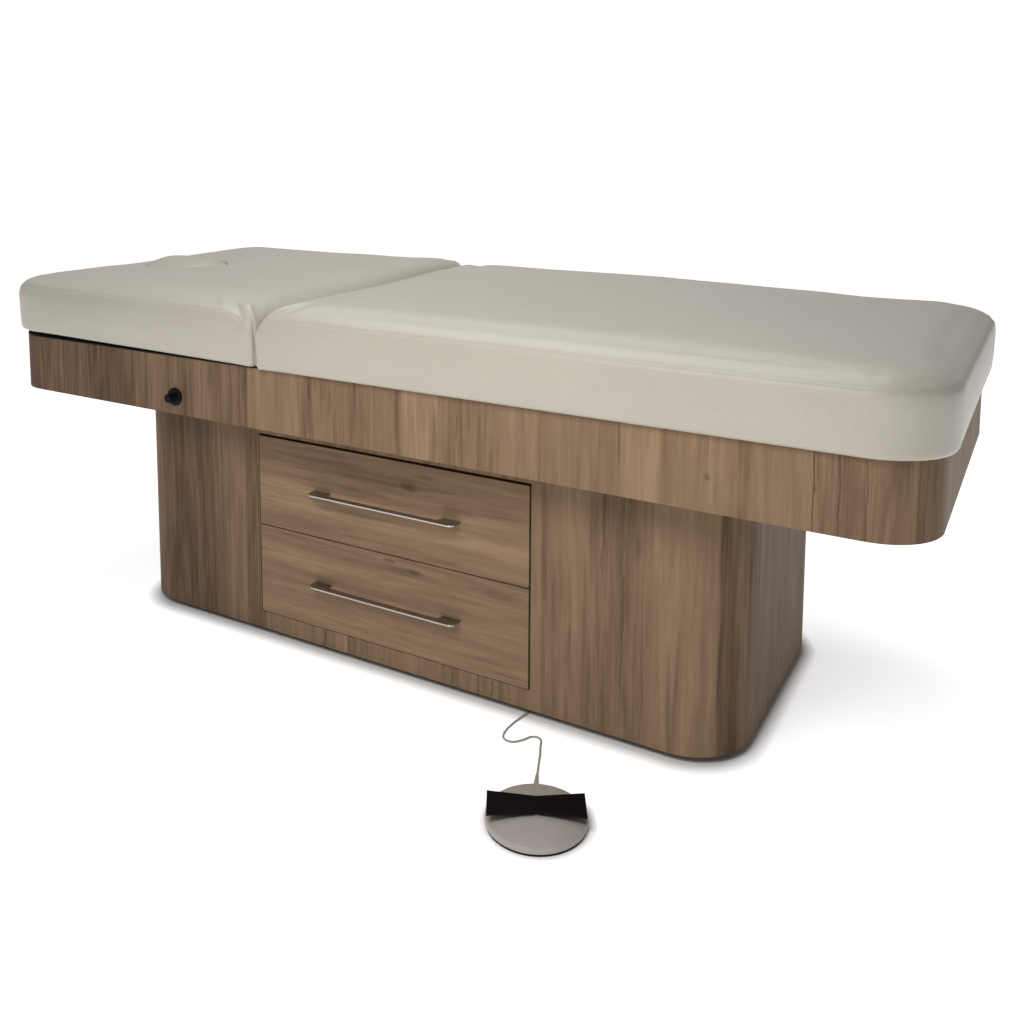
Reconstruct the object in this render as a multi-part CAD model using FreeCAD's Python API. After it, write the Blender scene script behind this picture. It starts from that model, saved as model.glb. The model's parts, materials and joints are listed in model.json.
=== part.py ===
import FreeCAD, Part
import math
import os

# Facial treatment bed: wood pedestal with two drawers, an electric lift, a wood-skirted top with
# a body cushion and a hinged head cushion, and a foot switch on its cord.
# Millimetres. Origin on the floor under the middle of the bed, +X to the foot end,
# -Y to the drawer side, +Z up. The lift is at its lowest and the backrest is down.

os.makedirs("parts", exist_ok=True)

V = FreeCAD.Vector
ALONG_Y = V(0, 1, 0)
ALONG_Z = V(0, 0, 1)

# --- Driving dimensions ---
BOARD = 18.0  # thickness of every wood board

APRON_LENGTH = 1950.0
APRON_WIDTH = 780.0
APRON_CORNER = 95.0
APRON_BOTTOM = 476.0
APRON_TOP = 596.0

PEDESTAL_LENGTH = 1364.0
PEDESTAL_WIDTH = 595.0
PEDESTAL_CORNER = 112.0
PEDESTAL_BOTTOM = 14.0
PEDESTAL_TOP = 500.0

BASE_BOTTOM = 30.0  # underside of the base board, which the glides carry
OPENING_HALF = 315.0  # half width of the drawer opening
OPENING_BOTTOM = 50.6
OPENING_TOP = 434.7
DRAWER_SPLIT = 240.3  # height of the gap between the two drawer fronts
DRAWER_BACK = 160.0  # rear end of the drawer boxes

HINGE_X = -231.0
HINGE_Z = 588.0
REST_TILT = 0.72  # degrees by which the lowered backrest rises towards the head
BACKREST_TRAVEL = 45.0
CUSHION_CLEARANCE = 2.0  # degrees left between the cushion ends with the backrest fully up

CUSHION_BULGE = 15.0  # how far the cushions stand out beyond the apron
CUSHION_CORNER = 110.0
CUSHION_TOP = 720.5
CUSHION_GAP = 0.3

FACE_X = -810.0  # centre of the face opening
FACE_HALF_LENGTH = 112.0
FACE_HALF_WIDTH = 82.0
FACE_LEDGE = 14.0  # board left under the rim of the plug

COLUMN_X = 480.0
COLUMN_LENGTH = 110.0
COLUMN_WIDTH = 80.0
COLUMN_WALL = 3.0
COLUMN_GAP = 0.7
SPINDLE_RADIUS = 10.0

RAIL_TOP = APRON_TOP - BOARD
RAIL_HEIGHT = 25.0
RAIL_WIDTH = 40.0
RAIL_WALL = 2.0
SIDE_RAIL_Y = 200.0
HINGE_RAIL_X = -175.0
ANCHOR_RAIL_X = 40.0
HEAD_RAIL_X = -932.0
FOOT_RAIL_X = 850.0

RUNNING_GAP = 0.05  # radial clearance of pins and shafts

LEVER_ARM = 55.0
LEVER_ANGLE = BACKREST_TRAVEL / 2  # how far the lever leans to the foot end at rest
SPRING_RADIUS = 10.0
SPRING_LENGTH = 210.0
ROD_RADIUS = 4.0
ROD_CLEARANCE = 2.5  # room in the bore for the lever's rise and fall

KNOB_X = -454.0
KNOB_Z = 513.0

SWITCH_X = 455.0
SWITCH_Y = -553.0
SWITCH_RADIUS = 79.0
SWITCH_PAD_HEIGHT = 4.0
SWITCH_RIM_TOP = 12.5
SWITCH_DOME_TOP = 23.0
SWITCH_TURN = 28.0  # degrees the foot switch is turned about the vertical
ROCKER_LENGTH = 152.0
ROCKER_END_WIDTH = 59.0
ROCKER_WAIST = 38.0
ROCKER_BOTTOM = 28.2
ROCKER_TOP = 31.0
ROCKER_PIN_Z = 21.5
BOOT_SEAT = 17.0

CORD_DIAMETER = 3.8
LEAD_DIAMETER = 6.0
ARC_SHARE = 0.45  # share of the shorter run that an arc of a cord takes up

# Route of the foot switch cord, from its strain relief to the gland under the base board
CORD_ROUTE = [
    (406.5, -451.3, 5.5),
    (397.0, -428.5, 3.2),
    (388.0, -405.5, 2.2),
    (380.6, -387.0, 2.2),
    (374.4, -375.0, 2.2),
    (366.9, -354.2, 2.2),
    (356.3, -349.6, 2.2),
    (346.0, -354.3, 2.2),
    (341.7, -366.5, 2.2),
    (331.5, -382.3, 2.2),
    (321.0, -387.4, 2.2),
    (310.6, -385.9, 2.2),
    (303.6, -378.2, 2.2),
    (300.0, -365.0, 2.2),
    (299.2, -347.0, 2.2),
    (300.8, -329.0, 2.2),
    (303.4, -311.0, 2.2),
    (306.8, -290.0, 2.2),
    (308.2, -272.5, 2.5),
    (309.0, -260.0, 5.9),
    (309.3, -253.2, 14.4),
    (309.3, -253.2, 24.0),
]

HALF_L = APRON_LENGTH / 2
HALF_W = APRON_WIDTH / 2
PED_L = PEDESTAL_LENGTH / 2
PED_W = PEDESTAL_WIDTH / 2
BASE_TOP = BASE_BOTTOM + BOARD
FRONT_FACE = -PED_W
FRONT_BACK = FRONT_FACE + BOARD
RAIL_BOTTOM = RAIL_TOP - RAIL_HEIGHT


# --- Building blocks ---
def save(name, *shapes):
    """Write one node, made of one or more separate solids."""
    shape = shapes[0] if len(shapes) == 1 else Part.makeCompound(list(shapes))
    shape.exportStep("parts/" + name + ".step")


def block(x0, x1, y0, y1, z0, z1):
    return Part.makeBox(x1 - x0, y1 - y0, z1 - z0, V(x0, y0, z0))


def rod(radius, start, end):
    """Round bar from one point to another."""
    start = V(*start)
    along = V(*end) - start
    return Part.makeCylinder(radius, along.Length, start, along)


def vertical_edges(shape, wanted):
    """Upright edges whose foot the given test accepts."""
    edges = []
    for edge in shape.Edges:
        a = edge.Vertexes[0].Point
        b = edge.Vertexes[-1].Point
        upright = abs(a.x - b.x) < 0.01 and abs(a.y - b.y) < 0.01
        if upright and wanted(a):
            edges.append(edge)
    return edges


def level_edges(shape, z):
    """Edges that lie wholly at one height."""
    return [e for e in shape.Edges if abs(e.BoundBox.ZMin - z) < 0.01 and abs(e.BoundBox.ZMax - z) < 0.01]


def rounded_block(x0, x1, y0, y1, z0, z1, radius, wanted=lambda foot: True):
    """Block with rounded upright corners."""
    shape = block(x0, x1, y0, y1, z0, z1)
    return shape.makeFillet(radius, vertical_edges(shape, wanted))


def centred(half_x, half_y, z0, z1, radius, x=0.0):
    """Rounded block about an upright line on the centre plane."""
    return rounded_block(x - half_x, x + half_x, -half_y, half_y, z0, z1, radius)


def tube_prism(half_x, half_y, z0, z1, radius, wall, x=0.0):
    """Upright rounded tube, open at both ends."""
    outer = centred(half_x, half_y, z0, z1, radius, x)
    inner = centred(half_x - wall, half_y - wall, z0, z1, radius - wall, x)
    return outer.cut(inner)


def ellipse_prism(half_x, half_y, z0, z1, x):
    """Upright oval prism on the centre plane."""
    ring = Part.Ellipse(V(x, 0, z0), half_x, half_y)
    return Part.Face(Part.Wire(ring.toShape())).extrude(V(0, 0, z1 - z0))


def plate(points, y0, y1):
    """Flat plate in the XZ plane, given by its outline."""
    corners = [V(x, y0, z) for x, z in points]
    return Part.Face(Part.makePolygon(corners + corners[:1])).extrude(V(0, y1 - y0, 0))


def in_backrest(shape):
    """Turn a shape drawn level into the lowered backrest's rest tilt."""
    turned = shape.copy()
    turned.rotate(V(HINGE_X, 0, HINGE_Z), ALONG_Y, REST_TILT)
    return turned


def ring_corners(half_x, half_y, radius, z0, z1):
    """The four quarter-round corner pieces of a board ring."""
    ring = centred(half_x, half_y, z0, z1, radius)
    ring = ring.cut(centred(half_x - BOARD, half_y - BOARD, z0, z1, radius - BOARD))
    corners = []
    for side_x in (-1, 1):
        for side_y in (-1, 1):
            x0, x1 = sorted((side_x * (half_x - radius), side_x * half_x))
            y0, y1 = sorted((side_y * (half_y - radius), side_y * half_y))
            corners.append(ring.common(block(x0, x1, y0, y1, z0, z1)).Solids[0])
    return corners


def cord(route, diameter, name):
    """Round cord along straight runs joined by tangent arcs, with its radii and length printed."""
    points = [V(*p) for p in route]
    edges = []
    radii = []
    start = points[0]
    for before, corner, after in zip(points, points[1:], points[2:]):
        incoming = (corner - before).normalize()
        outgoing = (after - corner).normalize()
        shorter = min((corner - before).Length, (after - corner).Length)
        half_turn = incoming.getAngle(outgoing) / 2
        trim = ARC_SHARE * shorter
        radii.append(trim / math.tan(half_turn))
        arc_start = corner - incoming * trim
        arc_end = corner + outgoing * trim
        inward = (outgoing - incoming).normalize()
        depth = radii[-1] / math.cos(half_turn) - radii[-1]
        arc_middle = corner + inward * depth
        edges.append(Part.LineSegment(start, arc_start).toShape())
        edges.append(Part.Arc(arc_start, arc_middle, arc_end).toShape())
        start = arc_end
    edges.append(Part.LineSegment(start, points[-1]).toShape())
    path = Part.Wire(edges)
    profile = Part.Wire(Part.makeCircle(diameter / 2, points[0], points[1] - points[0]))
    tube = path.makePipeShell([profile], True, False)
    section = math.pi * (diameter / 2) ** 2
    print(name, "length %.1f" % path.Length, "volume share %.4f" % (tube.Volume / section / path.Length))
    print(name, "radii", ["%.1f" % r for r in radii])
    return tube


# --- Pedestal ---
def pedestal_shell():
    z0, z1 = PEDESTAL_BOTTOM, PEDESTAL_TOP
    straight_x = PED_L - PEDESTAL_CORNER
    straight_y = PED_W - PEDESTAL_CORNER
    save("front_panels", block(-straight_x, -OPENING_HALF, FRONT_FACE, FRONT_BACK, z0, z1),
         block(OPENING_HALF, straight_x, FRONT_FACE, FRONT_BACK, z0, z1))
    bottom_rail = block(-OPENING_HALF, OPENING_HALF, FRONT_FACE, FRONT_BACK, z0, OPENING_BOTTOM)
    top_rail = block(-OPENING_HALF, OPENING_HALF, FRONT_FACE, FRONT_BACK, OPENING_TOP, z1)
    save("front_rails", bottom_rail, top_rail)
    save("pedestal_corners", *ring_corners(PED_L, PED_W, PEDESTAL_CORNER, z0, z1))
    head_end = block(-PED_L, -PED_L + BOARD, -straight_y, straight_y, z0, z1)
    foot_end = block(PED_L - BOARD, PED_L, -straight_y, straight_y, z0, z1)
    save("pedestal_ends", head_end, foot_end)
    back = block(-straight_x, straight_x, PED_W - BOARD, PED_W, z0, z1)
    save("pedestal_back", back.cut(inlet_body(0.2)))


def pedestal_inside():
    half_x = PED_L - BOARD
    half_y = PED_W - BOARD
    corner = PEDESTAL_CORNER - BOARD
    base = centred(half_x, half_y, BASE_BOTTOM, BASE_TOP, corner)
    slot_x, slot_y = CORD_ROUTE[-1][0], CORD_ROUTE[-1][1]
    base = base.cut(block(slot_x - 5, slot_x + 5, slot_y - 5, slot_y + 25, BASE_BOTTOM, BASE_TOP))
    save("base_board", base)
    top = centred(half_x, half_y, PEDESTAL_TOP - BOARD, PEDESTAL_TOP, corner)
    for side in (-1, 1):
        passage = centred(COLUMN_LENGTH / 2 + 4, COLUMN_WIDTH / 2 + 4, PEDESTAL_TOP - BOARD,
                          PEDESTAL_TOP, 12, side * COLUMN_X)
        top = top.cut(passage)
    save("cabinet_top_board", top)
    save("drawer_partitions", partition(-1), partition(1))
    save("floor_glides", *floor_glides())


def partition(side):
    """Upright board beside the drawers, with passages for the leads low at the back."""
    x0, x1 = sorted((side * (OPENING_HALF + 3), side * (OPENING_HALF + 3 + BOARD)))
    wall = block(x0, x1, FRONT_BACK, PED_W - BOARD, BASE_TOP, PEDESTAL_TOP - BOARD)
    wall = wall.cut(block(x0, x1, MOTOR_LEAD_Y - 34, MOTOR_LEAD_Y + 8, LEAD_Z - 8, LEAD_Z + 8))
    if side > 0:
        wall = wall.cut(rod(8, (x0 - 1, INLET_LEAD_Y, INLET_Z), (x1 + 1, INLET_LEAD_Y, INLET_Z)))
    return wall


def floor_glides():
    """Plastic glides on plates under the base board, one in the very middle."""
    places = [(0.0, 0.0)]
    for x in (-590.0, 0.0, 590.0):
        for y in (-215.0, 215.0):
            places.append((x, y))
    glides = []
    for x, y in places:
        pad = Part.makeCylinder(25, 12, V(x, y, 0))
        pad = pad.makeFillet(2, level_edges(pad, 12))
        stem = Part.makeCylinder(9, 16, V(x, y, 12))
        flange = Part.makeCylinder(20, 3, V(x, y, BASE_BOTTOM - 3))
        glides.append(pad.fuse(stem).fuse(flange))
    return glides


# --- Drawers ---
SLIDE_OUT = OPENING_HALF + 3  # inner face of the partitions
BOX_HALF = 305.3  # outer face of the drawer sides
BOX_WALL = 12.0
SLIDE_FRONT = -277.0
SLIDE_BACK = 173.0
SLIDE_SHEET = 1.5


def channel(side, web_x, lip_x, half_height, z, y0, y1):
    """Sheet steel channel of a drawer slide: an upright web with two lips."""
    out = 1 if lip_x > web_x else -1
    w0, w1 = sorted((side * web_x, side * (web_x + out * SLIDE_SHEET)))
    l0, l1 = sorted((side * web_x, side * lip_x))
    web = block(w0, w1, y0, y1, z - half_height, z + half_height)
    lower = block(l0, l1, y0, y1, z - half_height, z - half_height + SLIDE_SHEET)
    upper = block(l0, l1, y0, y1, z + half_height - SLIDE_SHEET, z + half_height)
    return web.fuse(lower).fuse(upper).removeSplitter()


def slide_set(z):
    """Fixed, middle and drawer members of both slides of one drawer."""
    fixed = []
    middle = []
    inner = []
    for side in (-1, 1):
        fixed.append(channel(side, SLIDE_OUT, SLIDE_OUT - 11.7, 22.5, z, SLIDE_FRONT, SLIDE_BACK))
        middle.append(channel(side, OPENING_HALF - 0.5, BOX_HALF + 1.7, 20.0, z, SLIDE_FRONT, SLIDE_BACK - 15))
        inner.append(channel(side, BOX_HALF, BOX_HALF + 6.5, 17.0, z, SLIDE_FRONT, SLIDE_BACK - 20))
    return fixed, middle, inner


def drawer(name, front_bottom, front_top):
    """One drawer: front, handle, box and the slide members that travel with it."""
    side_bottom = front_bottom + 10
    side_top = front_top - 40
    floor_z = side_bottom + 8
    front = block(-OPENING_HALF + 1.5, OPENING_HALF - 4, FRONT_FACE, FRONT_BACK, front_bottom, front_top)
    save(name + "_drawer_front", front.makeFillet(0.8, front.Edges))
    save(name + "_drawer_handle", handle((front_bottom + front_top) / 2))
    inside = BOX_HALF - BOX_WALL
    walls = [block(-BOX_HALF, -inside, FRONT_BACK, DRAWER_BACK, side_bottom, side_top)]
    walls.append(block(inside, BOX_HALF, FRONT_BACK, DRAWER_BACK, side_bottom, side_top))
    walls.append(block(-inside, inside, DRAWER_BACK - BOX_WALL, DRAWER_BACK, side_bottom, side_top))
    save(name + "_drawer_walls", *walls)
    save(name + "_drawer_bottom", block(-inside, inside, FRONT_BACK, DRAWER_BACK - BOX_WALL,
                                        floor_z, floor_z + 6))
    fixed, middle, inner = slide_set((side_bottom + side_top) / 2)
    save(name + "_drawer_runners", *inner)
    save(name + "_middle_slides", *middle)
    return fixed


def handle(z):
    """Flat steel bow handle: a slim bar that widens into a foot at each end."""
    half_length = 170.0
    half_height = 1.9
    reach = FRONT_FACE - 28
    bar_back = reach + 14
    foot = 40.0
    outline = rounded_block(-half_length, half_length, reach, FRONT_FACE, z - half_height,
                            z + half_height, 14, lambda p: p.y < FRONT_FACE - 1)
    gap = rounded_block(-half_length + foot, half_length - foot, bar_back, FRONT_FACE + 30,
                        z - half_height, z + half_height, 9, lambda p: p.y < FRONT_FACE)
    bow = outline.cut(gap)
    rims = [e for e in level_edges(bow, z + half_height) + level_edges(bow, z - half_height)
            if e.BoundBox.YMin < FRONT_FACE - 1]
    return bow.makeFillet(1.0, rims)


def drawers():
    fixed = drawer("lower", OPENING_BOTTOM + 1.2, DRAWER_SPLIT - 1)
    fixed += drawer("upper", DRAWER_SPLIT + 1, OPENING_TOP - 5)
    save("fixed_slides", *fixed)


# --- Electric lift ---
MOTOR_TOP = BASE_TOP + 56
TUBE_BOTTOM = 112.0
NUT_HEIGHT = 30.0
SPINDLE_TOP = 430.0


def column(side):
    """One telescopic column: fixed housing, motor, spindle, nut and rising tube."""
    x = side * COLUMN_X
    half_x, half_y = COLUMN_LENGTH / 2, COLUMN_WIDTH / 2
    flange_z = BASE_TOP + 8
    flange = centred(half_x + 22, half_y + 22, BASE_TOP, flange_z, 12, x)
    housing = tube_prism(half_x, half_y, flange_z, 440, 12, COLUMN_WALL, x).fuse(flange)
    lead_hole = rod(4, (x - side * (half_x + 1), 0, LEAD_Z), (x - side * (half_x - 5), 0, LEAD_Z))
    housing = housing.cut(lead_hole)
    inside_x, inside_y = half_x - COLUMN_WALL, half_y - COLUMN_WALL
    motor = centred(inside_x - 1, inside_y - 1, flange_z, MOTOR_TOP, 7, x)
    motor = motor.cut(rod(SPINDLE_RADIUS + RUNNING_GAP, (x, 0, MOTOR_TOP - 10), (x, 0, MOTOR_TOP)))
    spindle = rod(SPINDLE_RADIUS, (x, 0, MOTOR_TOP - 9.5), (x, 0, SPINDLE_TOP))
    tube_x, tube_y = inside_x - COLUMN_GAP, inside_y - COLUMN_GAP
    top_plate_z = RAIL_BOTTOM - 10
    tube = tube_prism(tube_x, tube_y, TUBE_BOTTOM, top_plate_z, 8, COLUMN_WALL, x)
    top_plate = centred(80, 60, top_plate_z, RAIL_BOTTOM, 10, x)
    nut = centred(tube_x - COLUMN_WALL, tube_y - COLUMN_WALL, TUBE_BOTTOM, TUBE_BOTTOM + NUT_HEIGHT,
                  5, x)
    nut = nut.cut(rod(SPINDLE_RADIUS + RUNNING_GAP, (x, 0, 0), (x, 0, APRON_TOP)))
    return housing, motor, spindle, tube.fuse(top_plate), nut


def lift():
    head = column(-1)
    foot = column(1)
    save("column_housings", head[0], foot[0])
    save("lift_motors", head[1], foot[1])
    save("head_spindle", head[2])
    save("foot_spindle", foot[2])
    save("column_tubes", head[3], foot[3])
    save("spindle_nuts", head[4], foot[4])


# --- Control box, inlet and inner leads ---
LEAD_Z = 66.0
MOTOR_LEAD_Y = 240.0
INLET_LEAD_Y = 215.0
INLET_X = 430.0
INLET_Z = 95.0
BOX_X0, BOX_X1 = 120.0, 295.0
BOX_Y0, BOX_Y1 = 190.0, 262.0
BOX_TOP = 112.0


def inlet_body(grow=0.0):
    """Body of the mains inlet, where it passes through the back panel."""
    return block(INLET_X - 24 - grow, INLET_X + 24 + grow, PED_W - 32, PED_W,
                 INLET_Z - 15 - grow, INLET_Z + 15 + grow)


def mains_inlet():
    """Appliance inlet: body, outer flange, recess and three flat pins."""
    face = PED_W + 2.5
    recess_floor = face - 15
    flange = block(INLET_X - 30, INLET_X + 30, PED_W, face, INLET_Z - 19, INLET_Z + 19)
    inlet = inlet_body().fuse(flange)
    inlet = inlet.cut(block(INLET_X - 13, INLET_X + 13, recess_floor, face, INLET_Z - 9, INLET_Z + 9))
    for dx, dz in ((-7, -2), (7, -2), (0, 3)):
        inlet = inlet.fuse(block(INLET_X + dx - 1, INLET_X + dx + 1, recess_floor, face - 5.5,
                                 INLET_Z + dz - 2, INLET_Z + dz + 2))
    save("mains_inlet", inlet)


def control_box():
    body = block(BOX_X0, BOX_X1, BOX_Y0, BOX_Y1, BASE_TOP, BOX_TOP)
    save("control_box", body.makeFillet(4, vertical_edges(body, lambda p: True)))


def inner_leads():
    """Leads the cabinet holds all the way: two to the motors, one each to inlet and gland."""
    stop_x = COLUMN_X - COLUMN_LENGTH / 2 + COLUMN_WALL + 1
    turn_x = COLUMN_X - COLUMN_LENGTH / 2 - 45
    foot = [(BOX_X1, MOTOR_LEAD_Y, LEAD_Z), (turn_x, MOTOR_LEAD_Y, LEAD_Z), (turn_x, 0, LEAD_Z),
            (stop_x, 0, LEAD_Z)]
    head = [(BOX_X0, MOTOR_LEAD_Y, LEAD_Z), (-turn_x, MOTOR_LEAD_Y, LEAD_Z), (-turn_x, 0, LEAD_Z),
            (-stop_x, 0, LEAD_Z)]
    inlet = [(BOX_X1, INLET_LEAD_Y, INLET_Z), (INLET_X, INLET_LEAD_Y, INLET_Z),
             (INLET_X, PED_W - 32, INLET_Z)]
    gland_x, gland_y = CORD_ROUTE[-1][0], CORD_ROUTE[-1][1]
    low = BASE_TOP + CORD_DIAMETER
    switch = [(gland_x, gland_y, BASE_BOTTOM), (gland_x, gland_y, low), (gland_x, 30, low),
              (BOX_X1 - 25, BOX_Y0 - 80, low), (BOX_X1 - 25, BOX_Y0, low)]
    save("control_leads",
         cord(head, LEAD_DIAMETER, "head motor lead"),
         cord(foot, LEAD_DIAMETER, "foot motor lead"),
         cord(inlet, LEAD_DIAMETER, "inlet lead"),
         cord(switch, CORD_DIAMETER, "inner switch lead"))


def cable_gland():
    """Gland under the base board that holds the foot switch cord."""
    x, y, z = CORD_ROUTE[-1]
    body = Part.makeCylinder(7, BASE_BOTTOM - z, V(x, y, z))
    flange = Part.makeCylinder(11, 2, V(x, y, BASE_BOTTOM - 2))
    save("cable_gland", body.fuse(flange))


# --- Foot switch ---
def at_switch(shape):
    """Place a shape drawn about the vertical axis at the foot switch's place and turn."""
    placed = shape.copy()
    placed.rotate(V(0, 0, 0), ALONG_Z, SWITCH_TURN)
    placed.translate(V(SWITCH_X, SWITCH_Y, 0))
    return placed


def switch_dome():
    """Round base shell: a low upright rim under a shallow dome, with a pocket for the rocker's hub."""
    rise = SWITCH_DOME_TOP - SWITCH_RIM_TOP
    sphere_radius = (SWITCH_RADIUS ** 2 + rise ** 2) / (2 * rise)
    drum = Part.makeCylinder(SWITCH_RADIUS, SWITCH_DOME_TOP - SWITCH_PAD_HEIGHT + 1, V(0, 0, SWITCH_PAD_HEIGHT))
    shell = drum.common(Part.makeSphere(sphere_radius, V(0, 0, SWITCH_DOME_TOP - sphere_radius)))
    shell = shell.makeFillet(4, level_edges(shell, SWITCH_RIM_TOP))
    shell = shell.makeFillet(1, level_edges(shell, SWITCH_PAD_HEIGHT))
    return shell.cut(block(-9, 9, -11.5, 11.5, ROCKER_PIN_Z - 5.5, SWITCH_DOME_TOP + 1))


def foot_switch():
    pad = Part.makeCylinder(SWITCH_RADIUS - 1.5, SWITCH_PAD_HEIGHT)
    save("foot_switch_pad", at_switch(pad))
    shell = switch_dome()
    for side in (-1, 1):
        y0, y1 = sorted((side * 11.5, side * 15.5))
        shell = shell.fuse(block(-5, 5, y0, y1, SWITCH_RIM_TOP, ROCKER_BOTTOM - 0.6))
    shell = shell.fuse(rod(2, (0, -15.5, ROCKER_PIN_Z), (0, 15.5, ROCKER_PIN_Z)))
    boots = []
    for side in (-1, 1):
        boots.append(Part.makeCylinder(4.5, ROCKER_BOTTOM - 4.4 - BOOT_SEAT, V(side * 48, 0, BOOT_SEAT)))
    shell = shell.cut(Part.makeCompound(boots))
    save("foot_switch_base", at_switch(shell).cut(relief_cone()))
    save("switch_boots", *[at_switch(boot) for boot in boots])
    save("cord_relief", relief_cone())
    save("foot_switch_rocker", at_switch(rocker()))


def relief_cone():
    """Tapered strain relief, from inside the switch's rim to the cord."""
    end = V(*CORD_ROUTE[0])
    along = (V(*CORD_ROUTE[1]) - end).normalize()
    length = 38.0
    return Part.makeCone(4.6, CORD_DIAMETER / 2 + 0.7, length, end - along * length, along)


def rocker():
    """Bow-tie rocker plate with a hub that turns on the pin."""
    half = ROCKER_LENGTH / 2
    corners = [(-half, -ROCKER_END_WIDTH / 2), (0, -ROCKER_WAIST / 2), (half, -ROCKER_END_WIDTH / 2),
               (half, ROCKER_END_WIDTH / 2), (0, ROCKER_WAIST / 2), (-half, ROCKER_END_WIDTH / 2)]
    outline = [V(x, y, ROCKER_BOTTOM) for x, y in corners]
    top = Part.Face(Part.makePolygon(outline + outline[:1]))
    top = top.extrude(V(0, 0, ROCKER_TOP - ROCKER_BOTTOM))
    top = top.makeFillet(0.8, level_edges(top, ROCKER_TOP))
    hub = block(-5, 5, -11, 11, ROCKER_PIN_Z - 4.5, ROCKER_BOTTOM)
    return top.fuse(hub).cut(rod(2 + RUNNING_GAP, (0, -30, ROCKER_PIN_Z), (0, 30, ROCKER_PIN_Z)))


# --- Top: apron, frame and deck ---
def apron():
    z0, z1 = APRON_BOTTOM, APRON_TOP
    straight_x = HALF_L - APRON_CORNER
    straight_y = HALF_W - APRON_CORNER
    head = block(-straight_x, HINGE_X, -HALF_W, -HALF_W + BOARD, z0, z1)
    knob_hole = rod(12, (KNOB_X, -HALF_W - 1, KNOB_Z), (KNOB_X, -HALF_W + BOARD + 1, KNOB_Z))
    save("apron_front_head", head.cut(knob_hole))
    save("apron_front_foot", block(HINGE_X, straight_x, -HALF_W, -HALF_W + BOARD, z0, z1))
    save("apron_back", block(-straight_x, straight_x, HALF_W - BOARD, HALF_W, z0, z1))
    save("apron_ends", block(-HALF_L, -HALF_L + BOARD, -straight_y, straight_y, z0, z1),
         block(HALF_L - BOARD, HALF_L, -straight_y, straight_y, z0, z1))
    save("apron_corners", *ring_corners(HALF_L, HALF_W, APRON_CORNER, z0, z1))


def edge_strip():
    """Black foam strip on the apron's top edge, under the head cushion."""
    z0, z1 = APRON_TOP, APRON_TOP + 2.4
    ring = centred(HALF_L, HALF_W, z0, z1, APRON_CORNER)
    ring = ring.cut(centred(HALF_L - BOARD, HALF_W - BOARD, z0, z1, APRON_CORNER - BOARD))
    save("edge_strip", ring.common(block(-HALF_L, HINGE_X, -HALF_W, HALF_W, z0, z1)))


def box_tube(x0, x1, y0, y1):
    """Rectangular steel tube lying along X or Y at rail height."""
    shape = block(x0, x1, y0, y1, RAIL_BOTTOM, RAIL_TOP)
    wall_x, wall_y = (0, RAIL_WALL) if x1 - x0 > y1 - y0 else (RAIL_WALL, 0)
    return shape.cut(block(x0 + wall_x, x1 - wall_x, y0 + wall_y, y1 - wall_y,
                           RAIL_BOTTOM + RAIL_WALL, RAIL_TOP - RAIL_WALL))


def lift_frame():
    """Two long rails, with cross tubes between them and out to the apron."""
    half = RAIL_WIDTH / 2
    inner_y = SIDE_RAIL_Y - half
    outer_y = SIDE_RAIL_Y + half
    apron_y = HALF_W - BOARD
    tubes = []
    apron_x = HALF_L - BOARD
    for side in (-1, 1):
        y = side * SIDE_RAIL_Y
        tubes.append(box_tube(-apron_x, apron_x, y - half, y + half))
    tubes.append(box_tube(HEAD_RAIL_X - half, HEAD_RAIL_X + half, -inner_y, inner_y))
    for x in (-COLUMN_X, HINGE_RAIL_X, ANCHOR_RAIL_X, COLUMN_X, FOOT_RAIL_X):
        tubes.append(box_tube(x - half, x + half, -inner_y, inner_y))
        tubes.append(box_tube(x - half, x + half, outer_y, apron_y))
        tubes.append(box_tube(x - half, x + half, -apron_y, -outer_y))
    save("lift_frame", *tubes)


def deck_board():
    x0 = HINGE_X + 9.5
    x1 = HALF_L - BOARD - 0.5
    y1 = HALF_W - BOARD - 0.5
    save("deck_board", rounded_block(x0, x1, -y1, y1, RAIL_TOP, APRON_TOP,
                                     APRON_CORNER - BOARD - 0.5, lambda p: p.x > 0))


# --- Hinges, lever and gas spring ---
EAR_RADIUS = 8.5
PIN_RADIUS = 5.0
HINGE_Y = 290.0
ARM_HALF = 4.0
EAR_THICK = 6.0


def hinge_brackets():
    """Two fixed brackets, each of two ears, a back plate and the pressed-in pin."""
    plate_x = HINGE_RAIL_X - RAIL_WIDTH / 2
    brackets = []
    for side in (-1, 1):
        y = side * HINGE_Y
        back = block(plate_x - 4, plate_x, y - 20, y + 20, RAIL_BOTTOM + 1, RAIL_TOP - 1)
        bracket = back
        for inner in (-1, 1):
            y0, y1 = sorted((y + inner * (ARM_HALF + 0.5), y + inner * (ARM_HALF + 0.5 + EAR_THICK)))
            ear = plate([(plate_x - 4, RAIL_BOTTOM + 1), (plate_x - 4, RAIL_TOP - 1),
                         (HINGE_X + 7.5, RAIL_TOP - 1), (HINGE_X + 7.5, HINGE_Z), (HINGE_X - 8, HINGE_Z),
                         (HINGE_X - 8, RAIL_TOP - 1)], y0, y1)
            eye = rod(EAR_RADIUS, (HINGE_X, y0, HINGE_Z), (HINGE_X, y1, HINGE_Z))
            bracket = bracket.fuse(ear).fuse(eye)
        pin = rod(PIN_RADIUS, (HINGE_X, y - 13, HINGE_Z), (HINGE_X, y + 13, HINGE_Z))
        brackets.append(bracket.fuse(pin).removeSplitter())
    save("hinge_brackets", *brackets)


def lever_end(angle):
    """Centre of the lever's eye when it leans by an angle to the foot end."""
    lean = math.radians(angle)
    return HINGE_X + LEVER_ARM * math.sin(lean), HINGE_Z - LEVER_ARM * math.cos(lean)


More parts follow.
